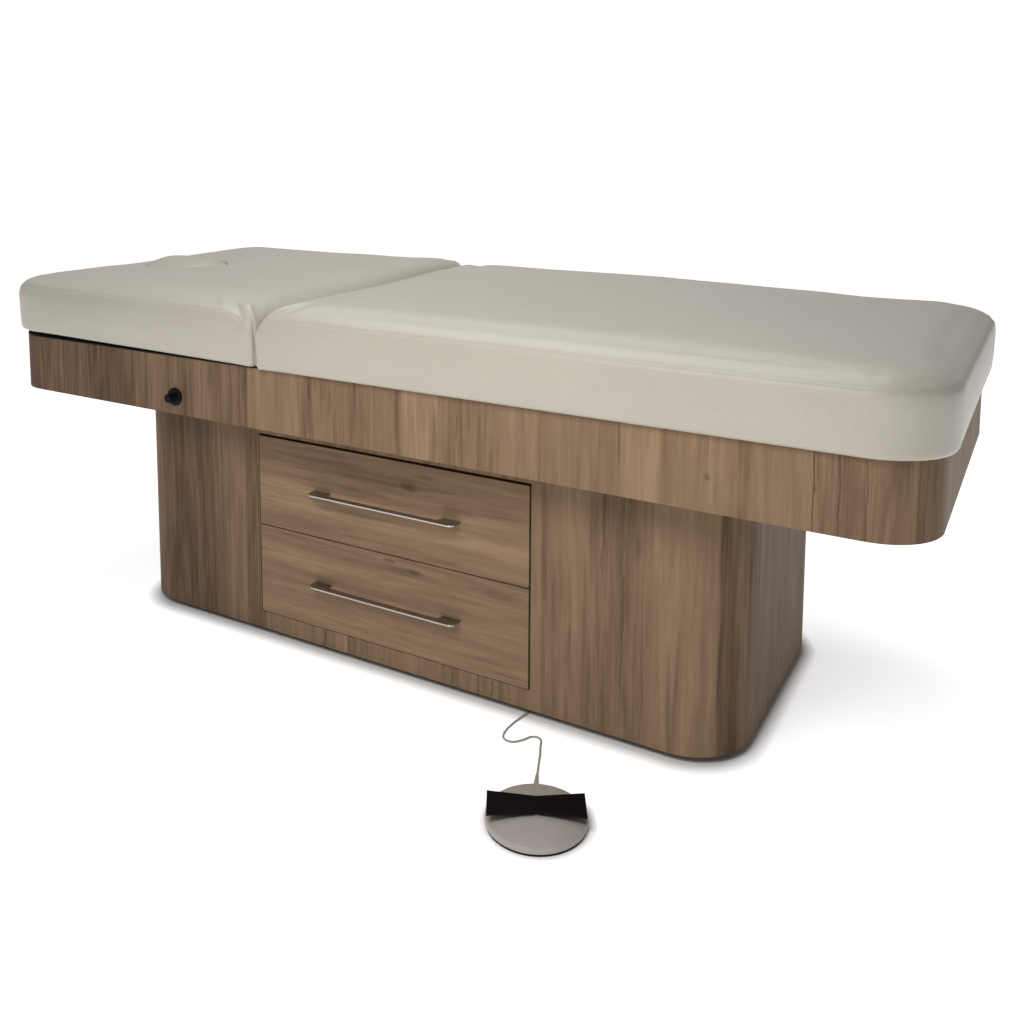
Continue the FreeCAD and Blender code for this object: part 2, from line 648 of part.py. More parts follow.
def backrest_brackets():
    """Two hinge arms and the gas spring's lever, screwed under the backrest board."""
    under = BACKREST_BOTTOM
    pieces = []
    for side in (-1, 1):
        y = side * HINGE_Y
        arm = block(HINGE_X - 70, HINGE_X - 4, y - ARM_HALF, y + ARM_HALF, under - 12, under)
        neck = block(HINGE_X - 8, HINGE_X + 6, y - ARM_HALF, y + ARM_HALF, under - 12, HINGE_Z)
        eye = rod(EAR_RADIUS, (HINGE_X, y - ARM_HALF, HINGE_Z), (HINGE_X, y + ARM_HALF, HINGE_Z))
        flange = block(HINGE_X - 70, HINGE_X - 14, y - 16, y + 16, under - 3, under)
        bore = rod(PIN_RADIUS + RUNNING_GAP, (HINGE_X, y - 20, HINGE_Z), (HINGE_X, y + 20, HINGE_Z))
        pieces.append(arm.fuse(neck).fuse(eye).fuse(flange).cut(bore).removeSplitter())
    x, z = lever_end(LEVER_ANGLE + REST_TILT)
    lever = block(HINGE_X - 95, HINGE_X - 18, -22, 22, under - 3, under)
    for side in (-1, 1):
        y0, y1 = sorted((side * 8, side * 12))
        cheek = plate([(HINGE_X - 80, under - 1), (HINGE_X - 20, under - 1), (x + 7, z + 7),
                       (x - 7, z - 7)], y0, y1)
        lever = lever.fuse(cheek).fuse(rod(10, (x, y0, z), (x, y1, z)))
    lever = lever.fuse(rod(4, (x, -12, z), (x, 12, z)))
    pieces.append(lever.removeSplitter())
    save("backrest_brackets", *[in_backrest(piece) for piece in pieces])


def gas_spring():
    """Lockable gas spring between the lever and its anchor on the frame."""
    x, z = lever_end(LEVER_ANGLE)
    middle_z = (z + HINGE_Z - LEVER_ARM) / 2
    mouth = x + SPRING_LENGTH
    eye = rod(9, (x, -7, z), (x, 7, z)).fuse(block(x, x + 14, -7, 7, z - 6, z + 6))
    cylinder = rod(SPRING_RADIUS, (x + 13, 0, z), (mouth, 0, z)).fuse(eye)
    cylinder = cylinder.cut(rod(4 + RUNNING_GAP, (x, -8, z), (x, 8, z)))
    cylinder = cylinder.cut(rod(ROD_RADIUS + ROD_CLEARANCE, (x + 22, 0, z), (mouth, 0, z)))
    save("gas_cylinder", cylinder)
    anchor_x = ANCHOR_RAIL_X
    piston_rod = rod(ROD_RADIUS, (x + 70, 0, middle_z), (anchor_x - 8, 0, middle_z))
    rod_eye = rod(9, (anchor_x, -6, middle_z), (anchor_x, 6, middle_z))
    rod_eye = rod_eye.cut(rod(4 + RUNNING_GAP, (anchor_x, -7, middle_z), (anchor_x, 7, middle_z)))
    save("gas_rod", piston_rod.fuse(rod_eye))
    anchor = block(anchor_x - 18, anchor_x + 36, -16, 16, RAIL_BOTTOM - 4, RAIL_BOTTOM)
    for side in (-1, 1):
        y0, y1 = sorted((side * 6.5, side * 10.5))
        anchor = anchor.fuse(block(anchor_x - 10, anchor_x + 10, y0, y1, middle_z - 10, RAIL_BOTTOM - 4))
    anchor = anchor.fuse(rod(4, (anchor_x, -10.5, middle_z), (anchor_x, 10.5, middle_z)))
    save("spring_anchor", anchor.removeSplitter())
    head = block(anchor_x + 11, anchor_x + 33, -9, 9, middle_z - 11, RAIL_BOTTOM - 4)
    save("release_head", head.makeFillet(2, vertical_edges(head, lambda p: True)))
    return anchor_x + 22, middle_z


def release_control():
    """Push button on the apron's front and the cable from it to the release head."""
    face = -HALF_W
    back = face + BOARD
    bush = rod(18, (KNOB_X, face - 6, KNOB_Z), (KNOB_X, face, KNOB_Z))
    bush = bush.makeFillet(2, [e for e in bush.Edges if abs(e.BoundBox.YMax - (face - 6)) < 0.01])
    bush = bush.fuse(rod(11.8, (KNOB_X, face, KNOB_Z), (KNOB_X, back + 20, KNOB_Z)))
    bush = bush.fuse(rod(17, (KNOB_X, back, KNOB_Z), (KNOB_X, back + 6, KNOB_Z)))
    bush = bush.cut(rod(9 + RUNNING_GAP, (KNOB_X, face - 6, KNOB_Z), (KNOB_X, back + 12, KNOB_Z)))
    save("button_bush", bush)
    button = rod(9, (KNOB_X, face - 24, KNOB_Z), (KNOB_X, back, KNOB_Z))
    button = button.makeFillet(2.5, [e for e in button.Edges if abs(e.BoundBox.YMax - (face - 24)) < 0.01])
    save("release_button", button)
    end_x, end_z = gas_spring()
    route = [(KNOB_X, back + 20, KNOB_Z), (KNOB_X, back + 70, KNOB_Z + 3),
             (KNOB_X + 90, back + 150, KNOB_Z + 10), (end_x - 150, -70, end_z - 6),
             (end_x, -60, end_z), (end_x, -9, end_z)]
    save("release_cable", cord(route, 5.0, "release cable"))


# --- Backrest board, cushions and plug ---
CUSHION_BASE = 599.3  # underside of the head cushion, drawn level
BACKREST_BOTTOM = CUSHION_BASE - CUSHION_GAP - BOARD


def backrest_board():
    x0 = -(HALF_L - BOARD - 2)
    y1 = HALF_W - BOARD - 2
    board = rounded_block(x0, HINGE_X - 9.5, -y1, y1, BACKREST_BOTTOM, BACKREST_BOTTOM + BOARD,
                          APRON_CORNER - BOARD - 2, lambda p: p.x < -900)
    hole = ellipse_prism(FACE_HALF_LENGTH - FACE_LEDGE, FACE_HALF_WIDTH - FACE_LEDGE, BACKREST_BOTTOM - 1,
                         CUSHION_BASE + 1, FACE_X)
    save("backrest_board", in_backrest(board.cut(hole)))


def backrest_stops():
    """Rubber buffers on the long rails that hold the lowered backrest at its tilt."""
    x = -850.0
    rise = (HINGE_X - x - 12) * math.sin(math.radians(REST_TILT))
    top = HINGE_Z + rise + (BACKREST_BOTTOM - HINGE_Z) - 0.1
    stops = [Part.makeCylinder(12, top - RAIL_TOP, V(x, y, RAIL_TOP)) for y in (-SIDE_RAIL_Y, SIDE_RAIL_Y)]
    save("backrest_stops", *stops)


def cushion_block(x0, x1, z0, z1, outer_x):
    """Plain padded block, rounded in plan at its outer end and along its rims."""
    y1 = HALF_W + CUSHION_BULGE
    pad = rounded_block(x0, x1, -y1, y1, z0, z1, CUSHION_CORNER, lambda p: abs(p.x - outer_x) < 1)
    pad = pad.makeFillet(35, level_edges(pad, z1))
    return pad.makeFillet(12, level_edges(pad, z0))


def end_wedge(angle):
    """Everything on the foot side of a plane through the hinge axis, leaning by an angle."""
    reach = 600.0
    lean = math.radians(angle)
    tip = (HINGE_X + reach * math.sin(lean), HINGE_Z + reach * math.cos(lean))
    foot = (HINGE_X - reach * math.sin(lean), HINGE_Z - reach * math.cos(lean))
    side = reach * 6
    return plate([foot, tip, (tip[0] + side, tip[1]), (foot[0] + side, foot[1])], -HALF_L, HALF_L)


def cushions():
    outer = HALF_L + CUSHION_BULGE
    half_wedge = (BACKREST_TRAVEL + CUSHION_CLEARANCE) / 2
    overlap = 40.0
    body = cushion_block(HINGE_X - overlap, outer, APRON_TOP + CUSHION_GAP, CUSHION_TOP, outer)
    save("body_cushion", body.common(end_wedge(half_wedge)))
    head = cushion_block(-outer, HINGE_X + overlap, CUSHION_BASE, CUSHION_TOP, -outer)
    head = head.cut(end_wedge(-half_wedge - REST_TILT))
    hole = ellipse_prism(FACE_HALF_LENGTH, FACE_HALF_WIDTH, CUSHION_BASE - 1, CUSHION_TOP + 1, FACE_X)
    save("head_cushion", in_backrest(head.cut(hole)))
    plug = ellipse_prism(FACE_HALF_LENGTH - 1, FACE_HALF_WIDTH - 1, CUSHION_BASE + 0.1, CUSHION_TOP + 11,
                         FACE_X)
    plug = plug.makeFillet(9, level_edges(plug, CUSHION_TOP + 11))
    save("face_plug", in_backrest(plug))


pedestal_shell()
pedestal_inside()
drawers()
lift()
mains_inlet()
control_box()
inner_leads()
cable_gland()
save("foot_switch_cord", cord(CORD_ROUTE, CORD_DIAMETER, "foot switch cord"))
foot_switch()
apron()
edge_strip()
lift_frame()
deck_board()
hinge_brackets()
backrest_brackets()
release_control()
backrest_board()
backrest_stops()
cushions()
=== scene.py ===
"""Looks of a facial treatment bed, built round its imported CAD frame. Lengths are in metres."""

import json
import math

import bmesh
import bpy
import numpy as np
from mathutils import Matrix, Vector
from mathutils.kdtree import KDTree


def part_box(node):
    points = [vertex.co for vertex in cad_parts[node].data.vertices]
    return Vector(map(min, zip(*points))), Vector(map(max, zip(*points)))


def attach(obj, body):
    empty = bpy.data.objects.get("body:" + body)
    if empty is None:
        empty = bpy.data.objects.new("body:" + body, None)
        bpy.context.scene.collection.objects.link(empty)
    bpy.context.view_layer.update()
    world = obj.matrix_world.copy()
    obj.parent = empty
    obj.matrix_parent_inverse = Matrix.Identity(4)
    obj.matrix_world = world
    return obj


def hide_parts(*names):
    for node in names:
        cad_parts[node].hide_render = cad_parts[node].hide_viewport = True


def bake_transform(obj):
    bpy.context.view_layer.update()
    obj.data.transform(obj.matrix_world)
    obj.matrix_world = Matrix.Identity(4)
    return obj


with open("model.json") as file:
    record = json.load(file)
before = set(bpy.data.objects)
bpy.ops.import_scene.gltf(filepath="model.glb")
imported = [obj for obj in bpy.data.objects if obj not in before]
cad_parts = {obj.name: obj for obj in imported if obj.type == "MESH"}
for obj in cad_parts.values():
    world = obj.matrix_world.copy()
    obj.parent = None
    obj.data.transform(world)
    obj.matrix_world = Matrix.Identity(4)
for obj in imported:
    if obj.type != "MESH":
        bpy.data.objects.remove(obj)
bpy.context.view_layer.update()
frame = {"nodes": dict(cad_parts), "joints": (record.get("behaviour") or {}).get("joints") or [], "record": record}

# Cushions
REST_TILT = math.radians(0.72)  # slope of the lowered backrest
CUSHION_SPACING = 0.0065  # distance between mesh columns round a cushion
HINGE_CORNER = 0.020  # plan radius where the two cushions meet, on the near side
FAR_CORNER = 0.009  # the same on the far side
OUTER_CORNER = 0.110  # plan radius at the head and the foot
TOP_ROUNDING = 0.034
HINGE_ROUNDING = 0.058  # rounding of the top edge at the hinge end
HINGE_REACH = 0.075  # length over which the rounding changes from one to the other
BOTTOM_ROUNDING = 0.0035
SIDE_BULGE = 0.004  # crown of the cushion's side before it is inflated
SEAM_EDGE = 0.002  # how far from the hinge's plane the seam runs down a cushion's side
SEAM_BEND = 0.082  # length in which the seam turns from level to upright
SEAM_FALL = 0.077  # height over which it does so
INFLATION = 0.008  # the furthest that a point of a cushion moves when it is inflated
TOP_CROWN = 0.003
EDGE_INSET = 0.001  # how far the cushion's lower edge stays inside the CAD plan
# Extra fullness of the tops at the far side, as (place along the bed, height). Most places, and the
# heights there, were read off the photo's outline with a separate measuring script and then rounded.
BODY_FULLNESS = [
    (0.32, 0.011), (0.504, 0.008), (0.60, 0.0055), (0.673, 0.004), (0.753, 0.001), (0.83, 0.0),
]
HEAD_FULLNESS = [
    (-0.97, -0.002), (-0.88, 0.0075), (-0.721, 0.0095), (-0.583, 0.011), (-0.451, 0.014), (-0.326, 0.015),
]
NEAR_SHARE = 0.3  # the near side's share of that fullness
BOARD_HALF_WIDTH = 0.384  # the backrest board and a little more
BOARD_CLEARANCE = 0.014  # radius of the room made for it
BOARD_FADE = 0.008  # width over which that room fades out towards the sides
HINGE_GAP = 0.0006  # from the hinge's plane to each cushion
TOP_MARGIN = 0.003  # kept free under the top of the CAD box
PLUG_SINK = 0.002  # how far the plug's edge lies below the cushion's top
PLUG_EDGE = 0.005
PLUG_DOME = 0.018
SEAM_ROW = 14  # row of points up a side that follows the seam
SEAM_ZONE = 0.014  # half height of the finer rows round the seam
SEW_REACH = 0.03  # how far from a seam sewing shows
TOP_RINGS = 34
UNDER_RINGS = 12

# Cloth simulation of the cushions' covers
CLOTH_VOXEL = 0.011
CLOTH_PRESSURE = 4.0
CLOTH_FRAMES = 20
CLOTH_NEIGHBOURS = 5  # simulated points that share in moving one point of the cushion

# Walnut print, from its darkest streak to its lightest sapwood
WALNUT = [
    (0.05, (0.070, 0.041, 0.024)),
    (0.30, (0.123, 0.076, 0.045)),
    (0.55, (0.184, 0.118, 0.070)),
    (0.78, (0.221, 0.145, 0.086)),
    (0.95, (0.262, 0.174, 0.104)),
]
CRACK_COLOUR = (0.034, 0.020, 0.013)
APRON_CORNER = 0.095
PEDESTAL_CORNER = 0.112
BACK_OFFSET = 7.3  # half the shift that keeps the back's grain apart from the front's
# Tones of the planks by their place along the front, and the marks that stand out on them. The dark
# tones towards the head end are partly the planks' own tone and partly painted shade of the light falling off
# there.
APRON_BANDS = [
    (-1.00, 0.20), (-0.91, 0.18), (-0.81, 0.30), (-0.70, 0.18), (-0.60, 0.28), (-0.53, 0.50), (-0.43, 0.42),
    (-0.385, 0.58), (-0.31, 0.54), (-0.30, 0.34), (-0.262, 0.36), (-0.258, 0.66), (-0.132, 0.62),
    (-0.129, 0.42),
    (-0.06, 0.56), (0.00, 0.44), (0.03, 0.58), (0.100, 0.46), (0.103, 0.80), (0.176, 0.76), (0.180, 0.50),
    (0.27, 0.50), (0.32, 0.70), (0.50, 0.62), (0.581, 0.80), (0.584, 0.60), (0.683, 0.66), (0.687, 0.52),
    (0.806, 0.62), (0.858, 0.34), (0.884, 0.52), (0.99, 0.50),
]
APRON_CRACKS = [
    (0.8100, 0.40, 0.70, 0.0011, 0.80), (0.8450, 0.40, 0.70, 0.0020, 0.45),
    (0.8820, 0.40, 0.70, 0.0017, 0.45), (-0.1080, 0.552, 0.583, 0.0024, 0.50),
    (0.0290, 0.40, 0.70, 0.0016, 0.22), (0.2150, 0.52, 0.70, 0.0018, 0.26),
    (-0.2590, 0.40, 0.70, 0.0009, 0.35),
]
APRON_KNOTS = [(0.6560, 0.531, 0.0050, 0.006, 0.40), (0.8125, 0.541, 0.0040, 0.007, 0.40),
               (0.2850, 0.500, 0.0060, 0.040, 0.28)]
# the dark tones towards the head end are partly painted shade here too
PEDESTAL_BANDS = [
    (-1.00, 0.36), (-0.68, 0.30), (-0.60, 0.34), (-0.55, 0.26), (-0.49, 0.22), (-0.455, 0.26), (-0.44, 0.46),
    (-0.36, 0.48), (-0.35, 0.26), (-0.322, 0.28), (-0.30, 0.53), (-0.15, 0.45), (0.00, 0.57), (0.15, 0.55),
    (0.30, 0.59), (0.35, 0.67), (0.40, 0.69), (0.43, 0.53), (0.47, 0.45), (0.52, 0.53), (0.55, 0.75),
    (0.652, 0.71), (0.656, 0.30), (0.72, 0.32), (0.78, 0.46), (1.00, 0.42),
]
PEDESTAL_CRACKS = [
    (0.4520, 0.30, 0.52, 0.0028, 0.30), (0.4880, 0.10, 0.44, 0.0034, 0.26),
    (-0.1490, 0.00, 0.052, 0.0050, 0.40), (-0.0450, 0.00, 0.052, 0.0022, 0.40),
    (0.1510, 0.00, 0.052, 0.0030, 0.36), (0.2370, 0.00, 0.052, 0.0036, 0.42),
    (-0.3200, 0.00, 0.60, 0.0020, 0.30),
]
PEDESTAL_KNOTS = [(0.5150, 0.360, 0.0080, 0.030, 0.30)]
DRAWER_BANDS = [
    (0.045, 0.71), (0.090, 0.73), (0.150, 0.67), (0.185, 0.73), (0.212, 0.55), (0.238, 0.59), (0.243, 0.53),
    (0.275, 0.61), (0.300, 0.75), (0.340, 0.71), (0.365, 0.53), (0.395, 0.49), (0.425, 0.59), (0.440, 0.59),
]
DRAWER_KNOTS = [
    (0.3840, 0.055, 0.0100, 0.022, 0.62), (0.4070, 0.090, 0.0040, 0.024, 0.40),
    (0.3560, 0.170, 0.0080, 0.050, 0.30), (0.2290, 0.012, 0.0040, 0.014, 0.50),
    (0.2170, 0.070, 0.0050, 0.020, 0.55), (0.2160, 0.253, 0.0090, 0.050, 0.28),
    (0.2660, -0.200, 0.0120, 0.110, 0.26), (0.0655, 0.270, 0.0015, 0.040, 0.45),
    (0.3980, -0.080, 0.0060, 0.120, 0.20),
]

# Foot switch
SWITCH_DOME_TOP = 0.0231  # the pivot lugs that stand above the dome are painted black: painted shade, where the rocker's plate would shade them

# Foot switch cord, from its strain relief to the gland under the base board
CORD_DIAMETER = 0.0038
CORD_ROUTE = [
    (0.4065, -0.4513, 0.0055),
    (0.3970, -0.4285, 0.0032),
    (0.3880, -0.4055, 0.0022),
    (0.3806, -0.3870, 0.0022),
    (0.3744, -0.3750, 0.0022),
    (0.3669, -0.3542, 0.0022),
    (0.3563, -0.3496, 0.0022),
    (0.3460, -0.3543, 0.0022),
    (0.3417, -0.3665, 0.0022),
    (0.3315, -0.3823, 0.0022),
    (0.3210, -0.3874, 0.0022),
    (0.3106, -0.3859, 0.0022),
    (0.3036, -0.3782, 0.0022),
    (0.3000, -0.3650, 0.0022),
    (0.2992, -0.3470, 0.0022),
    (0.3008, -0.3290, 0.0022),
    (0.3034, -0.3110, 0.0022),
    (0.3068, -0.2900, 0.0022),
    (0.3082, -0.2725, 0.0025),
    (0.3090, -0.2600, 0.0059),
    (0.3093, -0.2532, 0.0144),
    (0.3093, -0.2532, 0.0240),
]


# --- Camera and cord ---
def make_camera():
    """Camera of a nearly level view whose picture is shifted down, so that upright lines stay upright."""
    data = bpy.data.cameras.new("camera")
    data.sensor_width = 36.0
    data.lens = 36.669
    data.shift_x = 0.0545
    data.shift_y = -0.25
    data.clip_start = 0.05
    camera = bpy.data.objects.new("camera", data)
    camera.location = (1.1121, -1.8925, 1.0366)
    camera.rotation_euler = (math.radians(90 - 6.3794), 0.0, math.radians(30.8163))
    bpy.context.scene.collection.objects.link(camera)
    bpy.context.scene.camera = camera


def foot_switch_cord(material):
    curve = bpy.data.curves.new("switch_cord", "CURVE")
    curve.dimensions = "3D"
    spline = curve.splines.new("NURBS")
    spline.points.add(len(CORD_ROUTE) - 1)
    for point, place in zip(spline.points, CORD_ROUTE):
        point.co = (*place, 1.0)
    spline.order_u = 3
    spline.use_endpoint_u = True
    spline.resolution_u = 8
    curve.bevel_depth = CORD_DIAMETER / 2
    curve.bevel_resolution = 5
    curve.use_fill_caps = True
    curve.materials.append(material)
    cord = bpy.data.objects.new("switch_cord", curve)
    bpy.context.scene.collection.objects.link(cord)
    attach(cord, "pedestal")
    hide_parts("foot_switch_cord")


# --- Materials ---
class Nodes:
    """One material's node tree, with short calls for the nodes used here."""

    def __init__(self, name):
        self.material = bpy.data.materials.new(name)
        self.material.use_nodes = True
        self.tree = self.material.node_tree
        self.shader = self.tree.nodes["Principled BSDF"]

    def put(self, socket, value):
        if isinstance(value, bpy.types.NodeSocket):
            self.tree.links.new(value, socket)
        elif value is not None:
            socket.default_value = value

    def add(self, kind, inputs=(), **settings):
        node = self.tree.nodes.new(kind)
        for name, value in settings.items():
            setattr(node, name, value)
        for key, value in dict(inputs).items():
            self.put(node.inputs[key], value)
        return node

    def maths(self, operation, a, b=None, c=None, clamp=False):
        node = self.add("ShaderNodeMath", operation=operation, use_clamp=clamp)
        for socket, value in zip(node.inputs, (a, b, c)):
            self.put(socket, value)
        return node.outputs[0]

    def place(self):
        """X, Y and Z of the point in the frame, as separate sockets, and the whole vector."""
        coordinates = self.add("ShaderNodeTexCoord").outputs["Object"]
        split = self.add("ShaderNodeSeparateXYZ", {"Vector": coordinates})
        return split.outputs[0], split.outputs[1], split.outputs[2], coordinates

    def vector(self, x, y, z):
        return self.add("ShaderNodeCombineXYZ", {"X": x, "Y": y, "Z": z}).outputs[0]

    def noise(self, vector, scale, detail=3.0, roughness=0.5, distortion=0.0):
        node = self.add("ShaderNodeTexNoise", {"Vector": vector, "Scale": scale, "Detail": detail,
                                               "Roughness": roughness, "Distortion": distortion})
        return node.outputs["Fac"]

    def spread(self, value, low, high, to_low=0.0, to_high=1.0):
        """Maps low..high to to_low..to_high, clamped."""
        node = self.add("ShaderNodeMapRange", {"Value": value, "From Min": low, "From Max": high,
                                               "To Min": to_low, "To Max": to_high})
        return node.outputs["Result"]

    def ramp(self, factor, stops):
        node = self.add("ShaderNodeValToRGB", {"Fac": factor})
        elements = node.color_ramp.elements
        elements.remove(elements[-1])
        elements[0].position = stops[0][0]
        elements[0].color = (*stops[0][1], 1.0)
        for position, colour in stops[1:]:
            elements.new(position).color = (*colour, 1.0)
        return node.outputs["Color"]

    def mix(self, factor, a, b, blend="MIX"):
        node = self.add("ShaderNodeMix", data_type="RGBA", blend_type=blend)
        self.put(node.inputs[0], factor)
        self.put(node.inputs[6], (*a, 1.0) if isinstance(a, tuple) else a)
        self.put(node.inputs[7], (*b, 1.0) if isinstance(b, tuple) else b)
        return node.outputs[2]

    def bump(self, height, distance, strength=1.0, normal=None):
        node = self.add("ShaderNodeBump", {"Height": height, "Distance": distance, "Strength": strength})
        if normal is not None:
            self.put(node.inputs["Normal"], normal)
        return node.outputs["Normal"]

    def surface(self, colour=None, roughness=None, normal=None, **constants):
        self.put(self.shader.inputs["Base Color"], (*colour, 1.0) if isinstance(colour, tuple) else colour)
        self.put(self.shader.inputs["Roughness"], roughness)
        self.put(self.shader.inputs["Normal"], normal)
        for name, value in constants.items():
            self.shader.inputs[name.replace("_", " ")].default_value = value
        return self.material


def leatherette():
    """Warm grey-beige upholstery vinyl with a fine pebble grain and a soft sheen."""
    n = Nodes("leatherette")
    vector = n.place()[3]
    cells = n.add("ShaderNodeTexVoronoi", {"Vector": vector, "Scale": 620.0, "Randomness": 0.9},
                  feature="SMOOTH_F1").outputs["Distance"]
    creases = n.noise(vector, 1500.0, 2.0)
    mottle = n.noise(vector, 160.0, 4.0, 0.6)
    patches = n.noise(vector, 5.0, 2.0)
    tone = n.maths("ADD", n.maths("MULTIPLY", mottle, 0.6), n.maths("MULTIPLY", patches, 0.4))
    colour = n.ramp(tone, [(0.32, (0.372, 0.345, 0.292)), (0.68, (0.412, 0.383, 0.326))])
    pits = n.spread(cells, 0.25, 0.75, 1.0, 0.0)
    colour = n.mix(n.maths("MULTIPLY", pits, 0.10), colour, (0.26, 0.235, 0.20))
    height = n.maths("ADD", cells, n.maths("MULTIPLY", creases, 0.35))
    normal = n.bump(height, 0.00012, 0.55)
    normal = n.bump(patches, 0.0012, 0.25, normal)
    roughness = n.spread(mottle, 0.3, 0.7, 0.40, 0.50)
    return n.surface(colour, roughness, normal, Specular_IOR_Level=0.42, Sheen_Weight=0.08,
                     Sheen_Roughness=0.5)


def run_round(n, half_x, half_y, radius):
    """Distance along a rounded rectangle's side from the middle of its front or back, as a socket."""
    x, y, z, _ = n.place()
    straight_x = half_x - radius
    straight_y = half_y - radius
    size_x = n.maths("ABSOLUTE", x)
    size_y = n.maths("ABSOLUTE", y)
    past_x = n.maths("MAXIMUM", n.maths("SUBTRACT", size_x, straight_x), 0.0)
    past_y = n.maths("MAXIMUM", n.maths("SUBTRACT", size_y, straight_y), 0.0)
    along_front = n.maths("MINIMUM", size_x, straight_x)
    along_arc = n.maths("MULTIPLY", n.maths("ARCTAN2", past_x, past_y), radius)
    along_end = n.maths("SUBTRACT", straight_y, n.maths("MINIMUM", size_y, straight_y))
    run = n.maths("ADD", n.maths("ADD", along_front, along_arc), along_end)
    signed = n.maths("MULTIPLY", run, n.maths("SIGN", x))
    side = n.maths("MULTIPLY", n.maths("ADD", n.maths("SIGN", y), 1.0), BACK_OFFSET)
    return n.maths("ADD", signed, side), z


def walnut(n, across, along, depth, seed, bands, cracks, knots):
    """Rustic walnut print. bands: (place across, tone) of its planks; cracks: (place across, from, to along,
    width, depth of colour); knots: (place across, place along, half sizes across and along, depth)."""
    low, high = bands[0][0], bands[-1][0]
    planks = n.ramp(n.spread(across, low, high), [((place - low) / (high - low), (tone, tone, tone))
                                                  for place, tone in bands])
    lots = n.add("ShaderNodeTexVoronoi", {"W": n.maths("ADD", n.maths("MULTIPLY", across, 16.0), seed),
                                          "Scale": 1.0},
                 voronoi_dimensions="1D", feature="F1").outputs["Color"]
    lot = n.add("ShaderNodeSeparateColor", {"Color": lots})
    shifted = n.maths("ADD", along, n.maths("MULTIPLY", lot.outputs[1], 5.0))
    ragged = n.noise(n.vector(n.maths("MULTIPLY", across, 60.0), n.maths("MULTIPLY", along, 26.0), seed),
                     1.0, 4.0, 0.6)
    bulge = 0.0
    dark = 0.0
    for place, beside, half_across, half_along, strength in knots:
        a = n.maths("DIVIDE", n.maths("SUBTRACT", across, place), half_across)
        b = n.maths("DIVIDE", n.maths("SUBTRACT", along, beside), half_along)
        away = n.maths("SQRT", n.maths("ADD", n.maths("MULTIPLY", a, a), n.maths("MULTIPLY", b, b)))
        near = n.spread(away, 0.0, 3.2, 1.0, 0.0)
        side = n.maths("MULTIPLY", n.maths("MULTIPLY", near, near), n.maths("MULTIPLY", a, half_across * 0.7))
        bulge = n.maths("ADD", bulge, side)
        torn = n.maths("ADD", away, n.maths("MULTIPLY", n.maths("SUBTRACT", ragged, 0.5), 1.6))
        dark = n.maths("MAXIMUM", dark, n.spread(torn, 0.35, 1.25, strength, 0.0))
    bent = n.maths("SUBTRACT", across, bulge)

    def grain(across_scale, along_scale, detail, distortion, offset=0.0):
        vector = n.vector(n.maths("MULTIPLY", bent, across_scale),
                          n.maths("MULTIPLY", shifted, along_scale),
                          n.maths("ADD", n.maths("MULTIPLY", depth, across_scale), seed + offset))
        return n.noise(vector, 1.0, detail, 0.55, distortion)

    figure = grain(38.0, 3.2, 4.0, 1.3, 3.0)
    streaks = grain(170.0, 5.0, 5.0, 0.4, 9.0)
    pores = grain(700.0, 22.0, 2.0, 0.0, 17.0)
    tone = n.maths("ADD", planks, n.maths("MULTIPLY", n.maths("SUBTRACT", lot.outputs[0], 0.5), 0.10))
    for part, share in ((grain(11.0, 1.8, 2.0, 0.6), 0.58), (figure, 0.76), (streaks, 0.66)):
        tone = n.maths("ADD", tone, n.maths("MULTIPLY", n.maths("SUBTRACT", part, 0.5), share))
    colour = n.ramp(tone, WALNUT)
    lines = n.spread(grain(46.0, 1.5, 3.0, 0.7, 51.0), 0.64, 0.70)
    colour = n.mix(n.maths("MULTIPLY", lines, 0.35), colour, CRACK_COLOUR)
    waver = n.noise(n.vector(0.0, n.maths("MULTIPLY", along, 24.0), seed), 1.0, 3.0)
    wander = n.maths("SUBTRACT", waver, 0.5)
    for place, start, end, width, strength in cracks:
        line = n.maths("ADD", n.maths("SUBTRACT", across, place), n.maths("MULTIPLY", wander, width * 6.0))
        inside = n.spread(n.maths("ABSOLUTE", line), width * 0.3, width, strength, 0.0)
        ends = n.maths("MULTIPLY", n.spread(along, start - 0.006, start + 0.006),
                       n.spread(along, end - 0.006, end + 0.006, 1.0, 0.0))
        dark = n.maths("MAXIMUM", dark, n.maths("MULTIPLY", inside, ends))
    colour = n.mix(dark, colour, CRACK_COLOUR)
    open_pores = n.spread(pores, 0.60, 0.72)
    colour = n.mix(n.maths("MULTIPLY", open_pores, 0.25), colour, (0.060, 0.036, 0.023))
    height = n.maths("SUBTRACT", n.maths("MULTIPLY", streaks, 0.5), n.maths("MULTIPLY", open_pores, 0.5))
    roughness = n.spread(streaks, 0.3, 0.7, 0.52, 0.64)
    return n.surface(colour, roughness, n.bump(height, 0.00012, 0.7), Specular_IOR_Level=0.10)


def upright_wood(name, half_x, half_y, radius, seed, bands, cracks, knots):
    n = Nodes(name)
    across, z = run_round(n, half_x, half_y, radius)
    return walnut(n, across, z, 0.0, seed, bands, cracks, knots)


def drawer_wood(name, seed):
    n = Nodes(name)
    x, y, z, _ = n.place()
    return walnut(n, z, x, y, seed, DRAWER_BANDS, [], DRAWER_KNOTS)


def board(name, colours):
    """Melamine-faced board with a faint speckle."""
    n = Nodes(name)
    vector = n.place()[3]
    speckle = n.noise(vector, 420.0, 4.0, 0.7)
    colour = n.ramp(speckle, [(0.35, colours[0]), (0.65, colours[1])])
    return n.surface(colour, n.spread(speckle, 0.3, 0.7, 0.5, 0.65), n.bump(speckle, 0.0001, 0.4))


